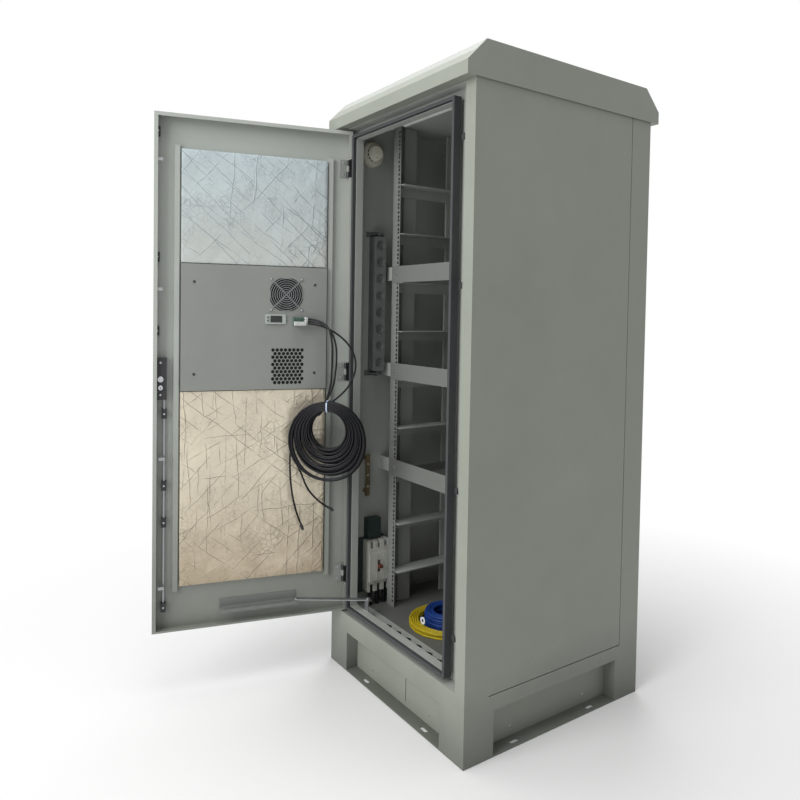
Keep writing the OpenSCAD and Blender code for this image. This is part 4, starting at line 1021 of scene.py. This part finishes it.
class CABINET_OT_ac_fittings(bpy.types.Operator):
    """Fits near-black blocks behind the air conditioner's openings as painted shade, and the ferrules of its
    leads
    """

    bl_idname = "cabinet.ac_fittings"
    bl_label = "Air conditioner fittings"

    def execute(self, context):
        self.screens()
        self.ferrules()
        self.terminal_plug()
        return {"FINISHED"}

    def screens(self):
        """Near-black blocks behind the vent and behind the fan: painted shade inside the casing."""
        thick = 3 * MM
        rounding = 0.5 * MM
        half = 57 * MM
        vent_y = AC_FACE_Y - 9 * MM
        fan_y = AC_FACE_Y - 46 * MM
        screens = bmesh.new()
        add_block(screens, (-0.169, vent_y, 1.004), (-0.046, vent_y + thick, 1.139), DOOR_TURN, rounding)
        add_block(screens, (FAN_X - half, fan_y, FAN_Z - half),
                  (FAN_X + half, fan_y + thick, FAN_Z + half), DOOR_TURN, rounding)
        mesh_piece("dark_shade_backs", screens, "screen_foam", "door", smooth=False)

    def ferrules(self):
        """A white sleeve on each lead where it leaves the terminals."""
        profile = [(0, -4), (4.6, -4), (4.6, 3), (5.4, 3.4), (5.4, 9), (4.8, 9.6), (3.4, 15), (0, 15)]
        ferrules = bmesh.new()
        for route in (LEAD_LEFT, LEAD_MIDDLE, LEAD_RIGHT):
            start = door_point(*route[0])
            way = door_point(*route[1]) - start
            add_lathe(ferrules, profile, facing(start, way), 18)
        mesh_piece("lead_ferrules", ferrules, "ferrule_white", "door")

    def terminal_plug(self):
        """The plug under the terminal block, with four raised keys."""
        face = AC_FACE_Y + 17 * MM
        plug = bmesh.new()
        add_block(plug, (-0.164, face, 1.210), (-0.124, face + 14 * MM, 1.224), DOOR_TURN, 1.2 * MM)
        for i in range(4):
            x = -0.157 + 8 * MM * i
            add_block(plug, (x, face + 13 * MM, 1.213), (x + 5 * MM, face + 15 * MM, 1.221),
                      DOOR_TURN, 0.4 * MM)
        mesh_piece("terminal_plug", plug, "ferrule_white", "door")


class CABINET_OT_lock_fittings(bpy.types.Operator):
    """Sets the square follower and the key cylinder in the lock case"""

    bl_idname = "cabinet.lock_fittings"
    bl_label = "Lock fittings"

    def execute(self, context):
        cylinder_z = LOCK_Z - 27 * MM
        follower = [(9.5, 0), (9.5, 1.2), (8.8, 1.8), (5.0, 1.8), (5.0, 0.2), (0, 0.2)]
        cylinder = [(8.0, 0), (8.0, 4.2), (7.2, 5.0), (0, 5.0)]
        metal = bmesh.new()
        add_lathe(metal, follower, on_door(LOCK_X, LOCK_FACE_Y, LOCK_Z), 28)
        add_lathe(metal, cylinder, on_door(LOCK_X, LOCK_FACE_Y, cylinder_z), 28)
        mesh_piece("lock_cylinder", metal, "screw_zinc", "door")
        # Painted shade: the keyway is a thin black block on the cylinder's face.
        half_w = 0.7 * MM
        half_h = 4 * MM
        slot = bmesh.new()
        add_block(slot, (LOCK_X - half_w, LOCK_FACE_Y + 4.6 * MM, cylinder_z - half_h),
                  (LOCK_X + half_w, LOCK_FACE_Y + 5.3 * MM, cylinder_z + half_h), DOOR_TURN, 0.15 * MM)
        mesh_piece("key_slot_shade", slot, "black_plastic", "door")
        return {"FINISHED"}


class CABINET_OT_plate_fittings(bpy.types.Operator):
    """Fits out the devices on the equipment plate: contacts and slots as black painted shade, terminals and a
    lamp
    """

    bl_idname = "cabinet.plate_fittings"
    bl_label = "Plate fittings"

    def execute(self, context):
        self.sockets()
        self.bolts()
        self.breaker_ribs()
        self.detector()
        return {"FINISHED"}

    def sockets(self):
        """Round inserts of the socket strip, each with three contact holes as black blocks of painted shade.
        """
        low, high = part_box("socket_strip")
        count = 8
        foot = 19 * MM
        half_w = 0.9
        half_h = 3.4
        pitch = (high[2] - low[2] - 2 * foot) / count
        middle = (low[1] + high[1]) / 2
        floor_x = high[0] - 8 * MM
        rim = [(16.4, 0), (16.4, 5.6), (15.2, 6.2), (14.4, 5.6), (14.4, 1.2), (0, 1.2)]
        inserts = bmesh.new()
        contacts = bmesh.new()
        for i in range(count):
            z = low[2] + foot + (i + 0.5) * pitch
            add_lathe(inserts, rim, facing((floor_x, middle, z), (1, 0, 0)), 32)
            for y, rise in ((-5, -4), (5, -4), (0, 5)):
                add_block(contacts, (floor_x + 1 * MM, middle + (y - half_w) * MM, z + (rise - half_h) * MM),
                          (floor_x + 1.5 * MM, middle + (y + half_w) * MM, z + (rise + half_h) * MM))
        mesh_piece("socket_inserts", inserts, "strip_plastic", "cabinet")
        mesh_piece("socket_hole_shades", contacts, "black_plastic", "cabinet", smooth=False)

    def bolts(self):
        """Terminal bolts of the breaker's three poles and of the earth bar."""
        low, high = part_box("breaker_case")
        pole = (high[1] - low[1]) / 3
        terminal_x = high[0] - 34 * MM
        inset = 13 * MM
        screws = bmesh.new()
        for z in (low[2] + inset, high[2] - inset):
            for i in range(3):
                add_screw(screws, facing((terminal_x, low[1] + (i + 0.5) * pole, z), (1, 0, 0)), 5.5 * MM)
        bar_low, bar_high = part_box("earth_bar")
        bar_middle = (bar_low[1] + bar_high[1]) / 2
        for rise in (35, 75, 115):
            place = (bar_high[0], bar_middle, bar_low[2] + rise * MM)
            add_screw(screws, facing(place, (1, 0, 0)), 4.5 * MM)
        mesh_piece("terminal_bolts", screws, "screw_zinc", "cabinet")

    def breaker_ribs(self):
        """Ribs between the poles, under and over the breaker's toggle."""
        low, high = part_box("breaker_case")
        pole = (high[1] - low[1]) / 3
        half_w = 1.2 * MM
        back = high[0] - 0.5 * MM
        front = high[0] + 1.2 * MM
        ribs = bmesh.new()
        for i in range(1, 3):
            y = low[1] + i * pole
            for z0, z1 in ((low[2] + 46 * MM, low[2] + 68 * MM), (high[2] - 62 * MM, high[2] - 46 * MM)):
                add_block(ribs, (back, y - half_w, z0), (front, y + half_w, z1), bevel=0.4 * MM)
        mesh_piece("breaker_ribs", ribs, "breaker_grey", "cabinet")

    def detector(self):
        """Slots round the smoke detector as black blocks of painted shade, and its red lamp."""
        low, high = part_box("smoke_detector")
        middle = (low[1] + high[1]) / 2
        height = (low[2] + high[2]) / 2
        count = 14
        half_w = 4.2 * MM
        slots = bmesh.new()
        for k in range(count):
            turn = Matrix.Rotation(2 * math.pi * k / count, 4, "X")
            place = Matrix.Translation((low[0], middle, height)) @ turn
            add_block(slots, (25 * MM, -half_w, 29.4 * MM), (31 * MM, half_w, 30.3 * MM), place)
        mesh_piece("detector_slot_shades", slots, "black_plastic", "cabinet", smooth=False)
        lens = [(2.6, -1), (2.6, 0.6), (2.0, 1.6), (1.0, 2.2), (0, 2.4)]
        lamp = bmesh.new()
        add_lathe(lamp, lens, facing((high[0] - 2.6 * MM, middle, height - 15 * MM), (1, 0, -0.35)), 16)
        mesh_piece("detector_lamp", lamp, "toggle_red", "cabinet")


class CABINET_OT_finishes(bpy.types.Operator):
    """Gives every solid of the cabinet its finish and rounded edges"""

    bl_idname = "cabinet.finishes"
    bl_label = "Finishes"

    def execute(self, context):
        edge_round = context.scene.cabinet_finish.edge_round
        for entry in frame["record"]["subparts"]:
            solid = frame["nodes"][entry["node"]]
            finish = FINISHES.get(entry["node"]) or FINISHES[entry["material_slot"]]
            solid.data.materials.clear()
            solid.data.materials.append(finish)
            rounding = solid.modifiers.new("edge_round", "BEVEL")
            rounding.width = edge_round
            rounding.segments = 2
            rounding.limit_method = "ANGLE"
            rounding.angle_limit = math.radians(50)
        return {"FINISHED"}


class CABINET_OT_stage(bpy.types.Operator):
    """Lays the floor and sets the studio lights"""

    bl_idname = "cabinet.stage"
    bl_label = "Stage"

    def execute(self, context):
        stage = context.scene.cabinet_stage
        self.floor(stage)
        self.sky(context, stage)
        lamps = (
            ("key_light", (0.6, -4.8, 3.4), (0, -0.3, 1.0), 3.0, 1.0),
            ("top_light", (0.0, -0.6, 4.8), (0, 0, 1.0), 3.0, 0.7),
            ("back_light", (-3.4, 3.6, 2.8), (0, 0, 1.0), 3.0, 0.55),
            ("low_light", (0.3, -3.6, 0.9), (0, -0.2, 1.7), 2.0, 0.15),
        )
        for name, place, target, size, share in lamps:
            self.lamp(name, place, target, size, stage.key_power * share)
        context.scene.view_settings.view_transform = "Standard"
        return {"FINISHED"}

    def floor(self, stage):
        """A wide floor that keeps the cabinet's shadow and turns white further out."""
        half_size = 14
        shadow_reach = 0.56
        white_reach = 2.2
        ground = bmesh.new()
        bmesh.ops.create_grid(ground, x_segments=2, y_segments=2, size=half_size)
        mesh = bpy.data.meshes.new("studio_floor")
        ground.to_mesh(mesh)
        ground.free()
        piece = bpy.data.objects.new("studio_floor", mesh)
        piece.location.z = -0.5 * MM
        bpy.context.scene.collection.objects.link(piece)
        material, tree, shader = new_finish("studio_floor")
        colour = tuple(stage.floor_colour)
        clouds = noise_texture(tree, texture_place(tree), scale=0.8, detail=3.0)
        tone = colour_ramp(tree, clouds, [(0.3, shade(colour, 0.98)), (0.7, shade(colour, 1.01))])
        tree.links.new(tone, shader.inputs["Base Color"])
        shader.inputs["Roughness"].default_value = 0.9
        coords = tree.nodes.new("ShaderNodeTexCoord")
        reach = new_node(tree, "ShaderNodeVectorMath", {0: coords.outputs["Object"]})
        reach.operation = "LENGTH"
        paleness = value_range(tree, reach.outputs["Value"], 0.0, 1.0, shadow_reach, white_reach)
        seen_white = arithmetic(tree, "MULTIPLY", background_rays(tree), paleness)
        white = tree.nodes.new("ShaderNodeEmission")
        ground_look = mixed_shaders(tree, seen_white, shader.outputs["BSDF"], white.outputs["Emission"])
        tree.links.new(ground_look, tree.nodes["Material Output"].inputs["Surface"])
        mesh.materials.append(material)

    def sky(self, context, stage):
        """An even light from all round that is seen as white."""
        world = bpy.data.worlds.new("studio_sky")
        world.use_nodes = True
        tree = world.node_tree
        tree.nodes.clear()
        output = tree.nodes.new("ShaderNodeOutputWorld")
        skies = []
        for strength in (stage.sky_level, 1.0):
            sky = new_node(tree, "ShaderNodeBackground", {"Color": (1, 1, 1, 1), "Strength": strength})
            skies.append(sky.outputs["Background"])
        tree.links.new(mixed_shaders(tree, background_rays(tree), *skies), output.inputs["Surface"])
        context.scene.world = world

    def lamp(self, name, place, target, size, power):
        """A square lamp at a place, aimed at a target."""
        light = bpy.data.lights.new(name, "AREA")
        light.energy = power
        light.size = size
        holder = bpy.data.objects.new(name, light)
        holder.location = place
        aim = Vector(target) - Vector(place)
        holder.rotation_euler = aim.to_track_quat("-Z", "Y").to_euler()
        bpy.context.scene.collection.objects.link(holder)


STEPS = (
    CABINET_OT_camera,
    CABINET_OT_door_cables,
    CABINET_OT_floor_coils,
    CABINET_OT_foil_pads,
    CABINET_OT_fasteners,
    CABINET_OT_side_strips,
    CABINET_OT_ac_fittings,
    CABINET_OT_lock_fittings,
    CABINET_OT_plate_fittings,
    CABINET_OT_finishes,
    CABINET_OT_stage,
)


class CABINET_PT_dressing(bpy.types.Panel):
    """Lists the steps that dress the cabinet"""

    bl_idname = "CABINET_PT_dressing"
    bl_label = "Cabinet"
    bl_space_type = "VIEW_3D"
    bl_region_type = "UI"
    bl_category = "Cabinet"

    def draw(self, context):
        column = self.layout.column(align=True)
        for step in STEPS:
            column.operator(step.bl_idname)
        for group in ("cabinet_finish", "cabinet_cables", "cabinet_stage"):
            settings = getattr(context.scene, group)
            box = self.layout.box()
            for name in settings.__annotations__:
                box.prop(settings, name)


CLASSES = (CabinetFinish, CabinetCables, CabinetStage) + STEPS + (CABINET_PT_dressing,)


def register():
    for entry in CLASSES:
        bpy.utils.register_class(entry)
    bpy.types.Scene.cabinet_finish = PointerProperty(type=CabinetFinish)
    bpy.types.Scene.cabinet_cables = PointerProperty(type=CabinetCables)
    bpy.types.Scene.cabinet_stage = PointerProperty(type=CabinetStage)


def unregister():
    del bpy.types.Scene.cabinet_finish
    del bpy.types.Scene.cabinet_cables
    del bpy.types.Scene.cabinet_stage
    for entry in reversed(CLASSES):
        bpy.utils.unregister_class(entry)


def main():
    register()
    make_finishes()
    bpy.ops.cabinet.camera()
    bpy.ops.cabinet.door_cables()
    bpy.ops.cabinet.floor_coils()
    bpy.ops.cabinet.foil_pads()
    bpy.ops.cabinet.fasteners()
    bpy.ops.cabinet.side_strips()
    bpy.ops.cabinet.ac_fittings()
    bpy.ops.cabinet.lock_fittings()
    bpy.ops.cabinet.plate_fittings()
    bpy.ops.cabinet.finishes()
    bpy.ops.cabinet.stage()


if __name__ == "__main__":
    main()
